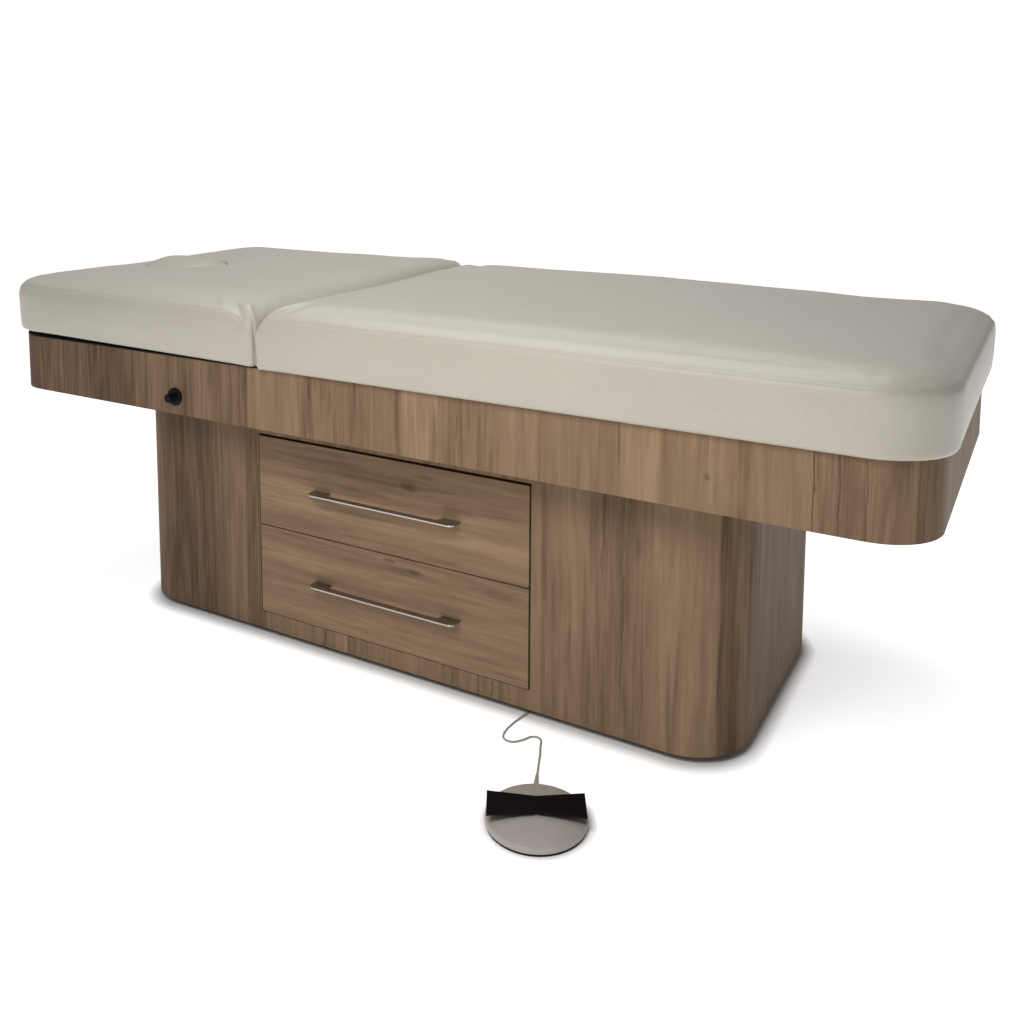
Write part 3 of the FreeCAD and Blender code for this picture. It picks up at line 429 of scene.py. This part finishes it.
def plastic(name, colours, roughness, grain, gloss=0.5, painted_shade_above=None):
    """Moulded plastic or rubber with a spark-eroded texture. Above a height it can be painted black as painted
    shade.
    """
    n = Nodes(name)
    _, _, z, vector = n.place()
    texture = n.noise(vector, grain, 3.0, 0.6)
    cloud = n.noise(vector, 22.0, 3.0)
    colour = n.ramp(cloud, [(0.3, colours[0]), (0.7, colours[1])])
    if painted_shade_above is not None:
        # painted shade: black above the given height, over the lugs under the rocker
        colour = n.mix(n.spread(z, painted_shade_above, painted_shade_above + 0.0003), colour, (0.004, 0.003, 0.004))
    rough = n.spread(texture, 0.3, 0.7, roughness - 0.05, roughness + 0.06)
    return n.surface(colour, rough, n.bump(texture, 0.00012, 0.5), Specular_IOR_Level=gloss)


def metal(name, colours, roughness, brush, scratch=0.00005):
    """Bare or plated metal with fine lines drawn along one axis."""
    n = Nodes(name)
    x, y, z, _ = n.place()
    lines = n.noise(n.vector(*(n.maths("MULTIPLY", axis, s) for axis, s in zip((x, y, z), brush))),
                    1.0, 4.0, 0.6)
    colour = n.ramp(lines, [(0.3, colours[0]), (0.7, colours[1])])
    rough = n.spread(lines, 0.25, 0.75, roughness - 0.07, roughness + 0.08)
    return n.surface(colour, rough, n.bump(lines, scratch, 0.5), Metallic=1.0)


def painted(name, colour):
    """Powder-coated steel with a slight orange peel."""
    n = Nodes(name)
    vector = n.place()[3]
    peel = n.noise(vector, 900.0, 2.0)
    dust = n.noise(vector, 30.0, 3.0)
    shade = n.mix(n.spread(dust, 0.4, 0.7, 0.0, 0.35), colour, tuple(c * 1.8 + 0.01 for c in colour))
    return n.surface(shade, n.spread(dust, 0.3, 0.7, 0.42, 0.55), n.bump(peel, 0.0001, 0.4))


def cable_jacket(name, colours):
    """Soft PVC jacket, slightly uneven in gloss."""
    n = Nodes(name)
    vector = n.place()[3]
    grime = n.noise(vector, 60.0, 4.0)
    colour = n.ramp(grime, [(0.3, colours[0]), (0.7, colours[1])])
    return n.surface(colour, n.spread(grime, 0.3, 0.7, 0.38, 0.52), n.bump(grime, 0.0002, 0.3),
                     Specular_IOR_Level=0.5)


def size_of(*nodes):
    """Lowest and highest corner of several CAD nodes together."""
    corners = [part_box(node) for node in nodes]
    low = Vector([min(c[0][i] for c in corners) for i in range(3)])
    high = Vector([max(c[1][i] for c in corners) for i in range(3)])
    return low, high


def make_materials():
    """One material for each slot, except the wood, which also depends on the piece it covers."""
    return {
        "cabinet_board": board("cabinet_board", ((0.27, 0.235, 0.195), (0.34, 0.30, 0.255))),
        "black_board": board("black_board", ((0.010, 0.010, 0.010), (0.022, 0.021, 0.020))),
        "leatherette": leatherette(),
        "brushed_steel": metal("brushed_steel", ((0.34, 0.33, 0.32), (0.44, 0.43, 0.415)), 0.20,
                               (12.0, 1500.0, 1500.0)),
        "zinc_steel": metal("zinc_steel", ((0.50, 0.51, 0.53), (0.66, 0.67, 0.68)), 0.36,
                            (90.0, 90.0, 90.0)),
        "painted_steel": painted("painted_steel", (0.018, 0.018, 0.020)),
        "column_aluminium": metal("column_aluminium", ((0.56, 0.57, 0.58), (0.68, 0.69, 0.70)), 0.40,
                                  (600.0, 600.0, 6.0)),
        "black_plastic": plastic("black_plastic", ((0.004, 0.003, 0.004), (0.006, 0.005, 0.006)), 0.50,
                                 1400.0, 0.08),
        "rocker_plastic": plastic("rocker_plastic", ((0.004, 0.003, 0.004), (0.007, 0.005, 0.006)), 0.45,
                                  1800.0, 0.08),
        "grey_plastic": plastic("grey_plastic", ((0.375, 0.344, 0.305), (0.415, 0.385, 0.342)), 0.60,
                                1100.0, 0.25, painted_shade_above=SWITCH_DOME_TOP),
        "black_rubber": plastic("black_rubber", ((0.008, 0.008, 0.008), (0.015, 0.014, 0.014)), 0.80,
                                700.0, 0.12),
        "cord_jacket": cable_jacket("cord_jacket", ((0.30, 0.276, 0.243), (0.36, 0.332, 0.292))),
        "black_jacket": cable_jacket("black_jacket", ((0.012, 0.012, 0.012), (0.02, 0.02, 0.02))),
    }


def wood_for(node, cache):
    """The wood of one CAD node: upright grain that runs on round the pedestal or the apron."""
    if node.startswith("apron"):
        _, high = size_of("apron_corners")
        key, radius, seed = "apron_wood", APRON_CORNER, 4.7
        marks = APRON_BANDS, APRON_CRACKS, APRON_KNOTS
    elif node.endswith("drawer_front"):
        if node not in cache:
            cache[node] = drawer_wood(node + "_wood", 2.3 if node.startswith("upper") else 12.9)
        return cache[node]
    else:
        _, high = size_of("pedestal_corners")
        key, radius, seed = "pedestal_wood", PEDESTAL_CORNER, 21.4
        marks = PEDESTAL_BANDS, PEDESTAL_CRACKS, PEDESTAL_KNOTS
    if key not in cache:
        cache[key] = upright_wood(key, high.x, high.y, radius, seed, *marks)
    return cache[key]


def dress_cad_nodes(materials):
    wood = {}
    for part in frame["record"]["subparts"]:
        node = part["node"]
        slot = part["material_slot"]
        material = wood_for(node, wood) if slot.startswith("wood") else materials[slot]
        data = frame["nodes"][node].data
        data.materials.clear()
        data.materials.append(material)


# --- Cushions ---
def outline(low, high, radii, spacing):
    """Points and outward normals round a rectangle in plan, anticlockwise from its high x, low y corner."""
    a, b, c, d = radii
    corners = [
        (high.x - a, low.y + a, a, -90),
        (high.x - b, high.y - b, b, 0),
        (low.x + c, high.y - c, c, 90),
        (low.x + d, low.y + d, d, 180),
    ]
    arcs = []
    for x, y, radius, start in corners:
        steps = max(7, round(radius * math.pi / 2 / spacing))
        angles = np.radians(start + 90 * np.arange(steps + 1) / steps)
        normals = np.stack([np.cos(angles), np.sin(angles)], 1)
        arcs.append((np.array([x, y]) + radius * normals, normals))
    points = []
    normals = []
    for (arc, arc_normals), (following, _) in zip(arcs, arcs[1:] + arcs[:1]):
        count = round(np.linalg.norm(following[0] - arc[-1]) / spacing)
        shares = np.arange(1, count)[:, None] / count
        points += [arc, arc[-1] + (following[0] - arc[-1]) * shares]
        normals += [arc_normals, np.repeat(arc_normals[-1:], count - 1, axis=0)]
    return np.concatenate(points), np.concatenate(normals)


def side_profile(base, top, rounding):
    """Dense points (inset, height) up a cushion's side, from its underside to the end of the top edge."""
    lower = np.radians(np.linspace(90, 0, 12))
    rise = [(BOTTOM_ROUNDING * (1 - math.cos(a)), base + BOTTOM_ROUNDING * (1 - math.sin(a))) for a in lower]
    upper = np.radians(np.linspace(0, 90, 40))
    fall = [(rounding * (1 - math.cos(a)), top - rounding * (1 - math.sin(a))) for a in upper]
    points = np.array(rise + fall)
    share = (points[:, 1] - base) / (top - base)
    points[:, 0] -= SIDE_BULGE * (1 - np.abs(2 * share - 0.95) ** 3.5) * np.minimum(share * 8, 1)
    length = np.concatenate([[0], np.cumsum(np.linalg.norm(np.diff(points, axis=0), axis=1))])
    return points, length


def side_rows(seams, base, top, rounding):
    """Inset and height of each row of points up a side, by column. The middle row follows the seam."""
    profile, length = side_profile(base, top, rounding)
    seam_at = np.interp(seams, profile[:, 1], length)
    full = length[-1]
    close = [-0.010, -0.0055, -0.0028, -0.0012, 0.0, 0.0012, 0.0028, 0.0055, 0.010]
    low_end = np.maximum(seam_at - SEAM_ZONE, 0.0)
    high_start = np.minimum(seam_at + SEAM_ZONE, full)
    stations = [low_end * share for share in np.linspace(0, 1, 11)[:-1]]
    stations += [np.clip(seam_at + step, 0.0, full) for step in close]
    stations += [high_start + (full - high_start) * share for share in np.linspace(0, 1, 11)[1:]]
    stations = np.array(stations)
    return np.interp(stations, length, profile[:, 0]), np.interp(stations, length, profile[:, 1])


def seam_heights(points, level, lowest, hinge_x, outer_sign):
    """Height of the top panel's seam at each outline point: level, and turning down at the hinge end."""
    reach = (points[:, 0] - hinge_x) * outer_sign
    short = np.clip((SEAM_BEND + SEAM_EDGE - reach) / SEAM_BEND, 0, 1)
    heights = level - SEAM_FALL * (1 - (1 - short**2.5) ** 0.4)
    heights[reach < SEAM_EDGE] = lowest
    return heights


def grid_mesh(name, rings, closed):
    """Quad mesh from rings of equal count. A closed one joins its last ring to its first."""
    count = len(rings[0])
    vertices = np.concatenate(rings)
    rows = len(rings)
    faces = []
    for row in range(rows if closed else rows - 1):
        a = row * count
        b = (row + 1) % rows * count
        for column in range(count):
            following = (column + 1) % count
            faces.append((a + column, a + following, b + following, b + column))
    mesh = bpy.data.meshes.new(name)
    mesh.from_pydata(vertices.tolist(), [], faces)
    shell = bpy.data.objects.new(name, mesh)
    bpy.context.scene.collection.objects.link(shell)
    return shell


def settle(shell):
    """Joins the points that lie on each other and makes every face look outward."""
    mesh = bmesh.new()
    mesh.from_mesh(shell.data)
    bmesh.ops.remove_doubles(mesh, verts=mesh.verts, dist=0.0004)
    bmesh.ops.dissolve_degenerate(mesh, edges=mesh.edges, dist=0.00005)
    bmesh.ops.recalc_face_normals(mesh, faces=mesh.faces)
    mesh.to_mesh(shell.data)
    mesh.free()
    shell.data.polygons.foreach_set("use_smooth", [True] * len(shell.data.polygons))


def inflated(shell, voxel, held, limit):
    """Moves of a cushion's points under pressure in its cover, from a cloth simulation of a remeshed copy.
    held(place) says which points foam and boards hold still."""
    copy = shell.copy()
    copy.data = shell.data.copy()
    bpy.context.scene.collection.objects.link(copy)
    remesh = copy.modifiers.new("remesh", "REMESH")
    remesh.mode = "VOXEL"
    remesh.voxel_size = voxel
    graph = bpy.context.evaluated_depsgraph_get()
    skin = bpy.data.meshes.new_from_object(copy.evaluated_get(graph))
    copy.modifiers.clear()
    copy.data = skin
    rest = np.empty(len(skin.vertices) * 3)
    skin.vertices.foreach_get("co", rest)
    rest = rest.reshape(-1, 3)
    fixed = copy.vertex_groups.new(name="held")
    fixed.add([int(i) for i in np.nonzero(held(rest))[0]], 1.0, "REPLACE")
    cloth = copy.modifiers.new("cloth", "CLOTH")
    settings = cloth.settings
    settings.quality = 4
    settings.use_pressure = True
    settings.uniform_pressure_force = CLOTH_PRESSURE
    settings.vertex_group_mass = "held"
    settings.effector_weights.gravity = 0.0
    cloth.point_cache.frame_start = 1
    cloth.point_cache.frame_end = CLOTH_FRAMES
    for number in range(1, CLOTH_FRAMES + 1):
        bpy.context.scene.frame_set(number)
    graph = bpy.context.evaluated_depsgraph_get()
    swollen = bpy.data.meshes.new_from_object(copy.evaluated_get(graph))
    end = np.empty(len(swollen.vertices) * 3)
    swollen.vertices.foreach_get("co", end)
    moves = end.reshape(-1, 3) - rest
    bpy.context.scene.frame_set(1)
    bpy.data.objects.remove(copy)

    tree = tree_of(rest)
    result = np.zeros((len(shell.data.vertices), 3))
    for index, vertex in enumerate(shell.data.vertices):
        near = tree.find_n(vertex.co, CLOTH_NEIGHBOURS)
        weights = np.array([1.0 / (distance + voxel * 0.3) for _, _, distance in near])
        weights /= weights.sum()
        result[index] = weights @ moves[[i for _, i, _ in near]]
    size = np.linalg.norm(result, axis=1, keepdims=True) + 1e-12
    return result * (limit * np.tanh(size / limit) / size)


def tree_of(places):
    tree = KDTree(len(places))
    for index, place in enumerate(places):
        tree.insert(place, index)
    tree.balance()
    return tree


def shift_points(shell, moves):
    places = np.empty(len(shell.data.vertices) * 3)
    shell.data.vertices.foreach_get("co", places)
    shell.data.vertices.foreach_set("co", places + moves.ravel())
    shell.data.update()


def sew(shell, seam):
    """Draws the cover in along a seam, with a low roll on each side and small puckers."""
    tree = tree_of(seam)
    moves = np.zeros((len(shell.data.vertices), 3))
    for index, vertex in enumerate(shell.data.vertices):
        _, near, distance = tree.find(vertex.co)
        if distance > SEW_REACH:
            continue
        groove = -0.0009 * math.exp(-((distance / 0.0016) ** 2))
        roll = 0.0003 * math.exp(-(((distance - 0.006) / 0.005) ** 2))
        wave = math.sin(near * 1.9) + 0.7 * math.sin(near * 0.83 + 1.0)
        pucker = 0.00010 * wave * math.exp(-((distance - 0.004) / 0.008) ** 2)
        moves[index] = np.array(vertex.normal) * (groove + roll + pucker)
    shift_points(shell, moves)


def smooth_finish(shell, material):
    subdivision = shell.modifiers.new("subdivision", "SUBSURF")
    subdivision.levels = 1
    subdivision.render_levels = 1
    shell.data.materials.append(material)


def tilt(places, hinge):
    """Turns points by the slope of the lowered backrest about its hinge."""
    x = places[:, 0] - hinge.x
    z = places[:, 2] - hinge.z
    cosine, sine = math.cos(REST_TILT), math.sin(REST_TILT)
    turned = places.copy()
    turned[:, 0] = hinge.x + x * cosine + z * sine
    turned[:, 2] = hinge.z - x * sine + z * cosine
    return turned


def fullness(x, y, stations):
    """Extra height of a cushion's top: its shape along the bed, growing towards the far side."""
    places, heights = zip(*stations)
    across = np.clip((y + 0.12) / 0.46, 0, 1)
    across = across * across * (3 - 2 * across)
    return np.interp(x, places, heights) * (NEAR_SHARE + (1 - NEAR_SHARE) * across)


def cushion_rings(points, normals, targets, base, top, seams, hinge_reach, stations, far_share):
    """Rings of a cushion from its underside, up its side and over its top towards the targets."""
    inward = targets - points
    reach = np.maximum(-(inward * normals).sum(1), 0.02)
    share = np.clip(1 - hinge_reach / HINGE_REACH, 0, 1)
    share = share * share * (3 - 2 * share) * np.interp(points[:, 1], [-0.05, 0.36], [1.0, far_share])
    insets, heights = side_rows(seams, base, top, TOP_ROUNDING)
    end_insets, end_heights = side_rows(seams, base, top, HINGE_ROUNDING)
    insets += (end_insets - insets) * share
    heights += (end_heights - heights) * share
    rings = []
    for inset, height in zip(insets, heights):
        place = points + inward * (inset / reach)[:, None]
        raised = np.clip((height - top + 0.022) / 0.022, 0, 1)
        extra = fullness(place[:, 0], place[:, 1], stations) * raised * raised * (3 - 2 * raised)
        rings.append(np.column_stack([place, height + extra]))
    start = (insets[-1] / reach)[:, None]
    for step in range(1, TOP_RINGS + 1):
        place = points + inward * (start + (1 - start) * step / TOP_RINGS)
        crown = TOP_CROWN * math.sin(step / TOP_RINGS * math.pi / 2)
        rings.append(np.column_stack([place, top + crown + fullness(place[:, 0], place[:, 1], stations)]))
    under = []
    start = (insets[0] / reach)[:, None]
    for step in range(UNDER_RINGS, 0, -1):
        place = points + inward * (start + (1 - start) * step / UNDER_RINGS)
        under.append(np.column_stack([place, np.full(len(points), base)]))
    return under, rings, len(under) + SEAM_ROW


def clear_the_board(shell, base, hinge):
    """Rounds the body cushion's lower hinge edge between its sides, where the raised backrest board goes."""
    for vertex in shell.data.vertices:
        inside = min(max((BOARD_HALF_WIDTH - abs(vertex.co.y)) / BOARD_FADE, 0.0), 1.0)
        radius = BOARD_CLEARANCE * inside
        x = radius - (vertex.co.x - hinge.x - HINGE_GAP)
        z = radius - (vertex.co.z - base)
        distance = math.hypot(x, z)
        if x > 0 and z > 0 and distance > radius:
            vertex.co.x += x * (1 - radius / distance)
            vertex.co.z += z * (1 - radius / distance)


def body_cushion(material, hinge):
    low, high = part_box("body_cushion")
    base, top = low.z, high.z - TOP_CROWN - TOP_MARGIN
    plan_low = Vector((hinge.x + HINGE_GAP, low.y + EDGE_INSET, 0))
    plan_high = Vector((high.x - EDGE_INSET, high.y - EDGE_INSET, 0))
    points, normals = outline(plan_low, plan_high, (OUTER_CORNER, OUTER_CORNER, FAR_CORNER, HINGE_CORNER),
                              CUSHION_SPACING)
    middle = plan_high.y
    targets = np.column_stack([np.clip(points[:, 0], plan_low.x + middle, plan_high.x - middle),
                               np.zeros(len(points))])
    level = top - 0.0165 - 0.0015 * (points[:, 0] - plan_low.x) / (plan_high.x - plan_low.x)
    seams = seam_heights(points, level, base, plan_low.x, 1)
    under, rings, seam_row = cushion_rings(points, normals, targets, base, top, seams,
                                          points[:, 0] - plan_low.x, BODY_FULLNESS, 0.7)
    shell = grid_mesh("body_pad", under + rings, closed=False)
    clear_the_board(shell, base, hinge)
    finish_cushion(shell, len(under), seam_row, seams, base, material)
    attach(shell, "top")
    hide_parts("body_cushion")


def finish_cushion(shell, first_row, seam_row, seams, base, material):
    """Inflates, sews and smooths a cushion's shell. Beside the hinge the seam runs down to the base."""
    count = len(seams)
    sewn = seams > base + 0.01
    seam_indices = [seam_row * count + column for column in np.nonzero(sewn)[0]]
    ends = sewn & ~(np.roll(sewn, 1) & np.roll(sewn, -1))
    for column in np.nonzero(ends)[0]:
        seam_indices += [row * count + column for row in range(first_row, seam_row)]
    seam_places = np.array([shell.data.vertices[i].co for i in seam_indices])
    tree = tree_of(seam_places)

    def held(places):
        near_seam = np.array([tree.find(place)[2] < 0.006 for place in places])
        return near_seam | (places[:, 2] < base + 0.010)

    moves = inflated(shell, CLOTH_VOXEL, held, INFLATION)
    shift_points(shell, moves)
    seam = np.array([shell.data.vertices[i].co for i in seam_indices])
    settle(shell)
    sew(shell, seam)
    smooth_finish(shell, material)


def head_cushion(material, hinge):
    low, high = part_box("body_cushion")
    hole_low, hole_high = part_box("face_plug")
    base = low.z + 0.003
    top = high.z - TOP_CROWN - TOP_MARGIN
    plan_low = Vector((-high.x + EDGE_INSET, low.y + EDGE_INSET, 0))
    plan_high = Vector((hinge.x - HINGE_GAP, high.y - EDGE_INSET, 0))
    points, normals = outline(plan_low, plan_high, (HINGE_CORNER, FAR_CORNER, OUTER_CORNER, OUTER_CORNER),
                              CUSHION_SPACING)
    centre = np.array([(hole_low.x + hole_high.x) / 2, 0.0])
    half = np.array([(hole_high.x - hole_low.x) / 2 + 0.0012, (hole_high.y - hole_low.y) / 2 + 0.0012])
    rim = 0.007
    outward = points - centre
    angles = np.arctan2(outward[:, 1] / half[1], outward[:, 0] / half[0])
    circle = np.column_stack([np.cos(angles), np.sin(angles)])
    targets = centre + circle * (half + rim)
    seams = seam_heights(points, top - 0.0125, base, plan_high.x, -1)
    under, rings, seam_row = cushion_rings(points, normals, targets, base, top, seams,
                                          plan_high.x - points[:, 0], HEAD_FULLNESS, -0.3)
    crown = top + TOP_CROWN + fullness(targets[:, 0], targets[:, 1], HEAD_FULLNESS)
    for angle in np.radians([18, 36, 54, 72, 90]):
        place = centre + circle * (half + rim * (1 - math.sin(angle)))
        rings.append(np.column_stack([place, crown - rim * (1 - math.cos(angle))]))
    for share in (0.2, 0.4, 0.6, 0.8, 1.0):
        depth = crown - rim - (crown - rim - base) * share
        rings.append(np.column_stack([centre + circle * half, depth]))
    shell = grid_mesh("head_pad", [tilt(ring, hinge) for ring in under + rings], closed=True)
    finish_cushion(shell, len(under), seam_row, seams, base, material)
    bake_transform(shell)
    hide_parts("head_cushion")


def face_plug(material, hinge):
    """Oval pad that closes the face opening: a shallow dome whose edge lies just under the cushion's top."""
    low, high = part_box("face_plug")
    centre = (low + high) / 2
    half = np.array([(high.x - low.x) / 2 - 0.0010, (high.y - low.y) / 2 - 0.0010])
    count = 96
    angles = np.arange(count) / count * 2 * math.pi
    circle = np.column_stack([np.cos(angles), np.sin(angles)])
    middle = np.array([centre.x, centre.y])
    bottom = low.z - (hinge.x - centre.x) * math.sin(REST_TILT) + 0.0030
    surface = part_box("body_cushion")[1].z - TOP_MARGIN

    def ring(inset, height, follow):
        place = middle + circle * np.maximum(half - inset, 0.0)
        return np.column_stack([place, height + follow * fullness(place[:, 0], place[:, 1], HEAD_FULLNESS)])

    rings = [ring(half.min() * share, bottom, 0.0) for share in (1.0, 0.75, 0.5, 0.25, 0.08)]
    rings += [ring(0.003 * (1 - share), bottom + 0.003 * share, 0.0) for share in (0.5, 1.0)]
    edge = surface - PLUG_SINK
    seam_height = edge - PLUG_EDGE - 0.006
    for height in np.linspace(bottom + 0.010, seam_height - 0.004, 12):
        rings.append(ring(0.0, height, 0.0))
    for step in (-0.0028, -0.0012, 0.0, 0.0012, 0.0028):
        rings.append(ring(0.0, seam_height + step, 0.5))
    seam_row = len(rings) - 3
    for angle in np.radians([0, 15, 30, 45, 60, 75, 90]):
        rings.append(ring(PLUG_EDGE * (1 - math.cos(angle)), edge - PLUG_EDGE * (1 - math.sin(angle)), 1.0))
    for share in np.linspace(0.06, 1.0, 16):
        inset = PLUG_EDGE + (half.min() - PLUG_EDGE) * share
        rings.append(ring(inset, edge + PLUG_DOME * (1 - (1 - share) ** 2), 1.0))
    shell = grid_mesh("face_pad", [tilt(ring, hinge) for ring in rings], closed=False)
    seam = np.array([shell.data.vertices[seam_row * count + i].co for i in range(count)])
    settle(shell)
    sew(shell, seam)
    smooth_finish(shell, material)
    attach(shell, "plug")
    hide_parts("face_plug")


# --- Floor and light ---
WORLD_AT_HEAD = 0.42
WORLD_AT_FOOT = 0.12


def distance_from(n, x, y, centre, half_x, half_y, radius):
    """Distance from a rounded rectangle on the floor, as a socket."""
    past_x = n.maths("SUBTRACT", n.maths("ABSOLUTE", n.maths("SUBTRACT", x, centre.x)), half_x - radius)
    past_y = n.maths("SUBTRACT", n.maths("ABSOLUTE", n.maths("SUBTRACT", y, centre.y)), half_y - radius)
    past_x = n.maths("MAXIMUM", past_x, 0.0)
    past_y = n.maths("MAXIMUM", past_y, 0.0)
    squares = n.maths("ADD", n.maths("MULTIPLY", past_x, past_x), n.maths("MULTIPLY", past_y, past_y))
    away = n.maths("SQRT", squares)
    return n.maths("SUBTRACT", away, radius)


def floor():
    """Pale floor that glows a little, and more away from the pedestal. The glow is taken out under and round the
    pedestal and the foot switch as a painted contact shadow, and raised beside the foot end as painted light over
    the bed's shadow there.
    """
    size = 30.0
    mesh = bpy.data.meshes.new("floor")
    corners = [(-size, -size, 0), (size, -size, 0), (size, size, 0), (-size, size, 0)]
    mesh.from_pydata(corners, [], [(0, 1, 2, 3)])
    n = Nodes("floor")
    x, y, _, _ = n.place()
    low, high = size_of("pedestal_corners")
    from_pedestal = distance_from(n, x, y, (low + high) / 2, high.x, high.y, PEDESTAL_CORNER)
    low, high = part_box("foot_switch_pad")
    radius = (high.x - low.x) / 2
    from_switch = distance_from(n, x, y, (low + high) / 2, radius, radius, radius)
    # painted contact shadow: no glow under the pedestal and the foot switch, rising to full glow 30 mm and 20 mm
    # past their edges
    glow_past_painted_pedestal_shadow = n.spread(from_pedestal, 0.0, 0.030)
    glow_past_painted_switch_shadow = n.spread(from_switch, 0.0, 0.020)
    glow = n.maths("MULTIPLY", n.maths("MINIMUM", glow_past_painted_pedestal_shadow, glow_past_painted_switch_shadow), 0.62)
    glow = n.maths("ADD", glow, n.spread(from_pedestal, 0.4, 1.8, 0.0, 0.17))
    # painted light: extra glow on the floor beside the foot end, over the shadow that the bed casts there
    painted_light_beside_foot = n.maths("MULTIPLY", n.spread(x, 0.6, 1.0), n.spread(from_pedestal, 0.03, 0.30, 0.0, 0.16))
    glow = n.maths("ADD", glow, painted_light_beside_foot)
    n.put(n.shader.inputs["Emission Color"], (1.0, 1.0, 1.0, 1.0))
    n.put(n.shader.inputs["Emission Strength"], glow)
    mesh.materials.append(n.surface((0.93, 0.93, 0.93), 0.9, Specular_IOR_Level=0.2))
    plane = bpy.data.objects.new("floor", mesh)
    bpy.context.scene.collection.objects.link(plane)


def softbox(name, place, aim, width, height, power):
    data = bpy.data.lights.new(name, "AREA")
    data.shape = "RECTANGLE"
    data.size = width
    data.size_y = height
    data.energy = power
    light = bpy.data.objects.new(name, data)
    light.location = place
    light.rotation_euler = (Vector(aim) - Vector(place)).to_track_quat("-Z", "Y").to_euler()
    bpy.context.scene.collection.objects.link(light)


def studio():
    world = bpy.data.worlds.new("studio")
    world.use_nodes = True
    nodes = world.node_tree.nodes
    links = world.node_tree.links
    background = nodes["Background"]
    background.inputs["Color"].default_value = (1.0, 1.0, 1.0, 1.0)
    direction = nodes.new("ShaderNodeTexCoord").outputs["Generated"]
    split = nodes.new("ShaderNodeSeparateXYZ")
    links.new(direction, split.inputs[0])
    fade = nodes.new("ShaderNodeMapRange")
    fade.inputs["From Min"].default_value = -1.0
    fade.inputs["To Min"].default_value = WORLD_AT_HEAD
    fade.inputs["To Max"].default_value = WORLD_AT_FOOT
    links.new(split.outputs[0], fade.inputs["Value"])
    links.new(fade.outputs["Result"], background.inputs["Strength"])
    seen = nodes.new("ShaderNodeBackground")
    seen.inputs["Color"].default_value = (1.0, 1.0, 1.0, 1.0)
    seen.inputs["Strength"].default_value = 1.05
    paths = nodes.new("ShaderNodeLightPath")
    mix = nodes.new("ShaderNodeMixShader")
    links.new(paths.outputs["Is Camera Ray"], mix.inputs[0])
    links.new(background.outputs[0], mix.inputs[1])
    links.new(seen.outputs[0], mix.inputs[2])
    links.new(mix.outputs[0], nodes["World Output"].inputs["Surface"])
    bpy.context.scene.world = world
    bpy.context.scene.view_settings.view_transform = "Standard"
    softbox("front_box", (0.30, -1.45, 1.50), (0.20, -0.40, 0.60), 0.9, 0.6, 16.5)
    softbox("top_box", (-0.35, 0.45, 2.6), (-0.25, 0.1, 0.7), 2.2, 1.2, 36.0)


make_camera()
all_materials = make_materials()
foot_switch_cord(all_materials["cord_jacket"])
dress_cad_nodes(all_materials)
hinge_point = Vector(next(j for j in frame["joints"] if j["name"] == "backrest_tilt")["pos_m"])
body_cushion(all_materials["leatherette"], hinge_point)
head_cushion(all_materials["leatherette"], hinge_point)
face_plug(all_materials["leatherette"], hinge_point)
floor()
studio()
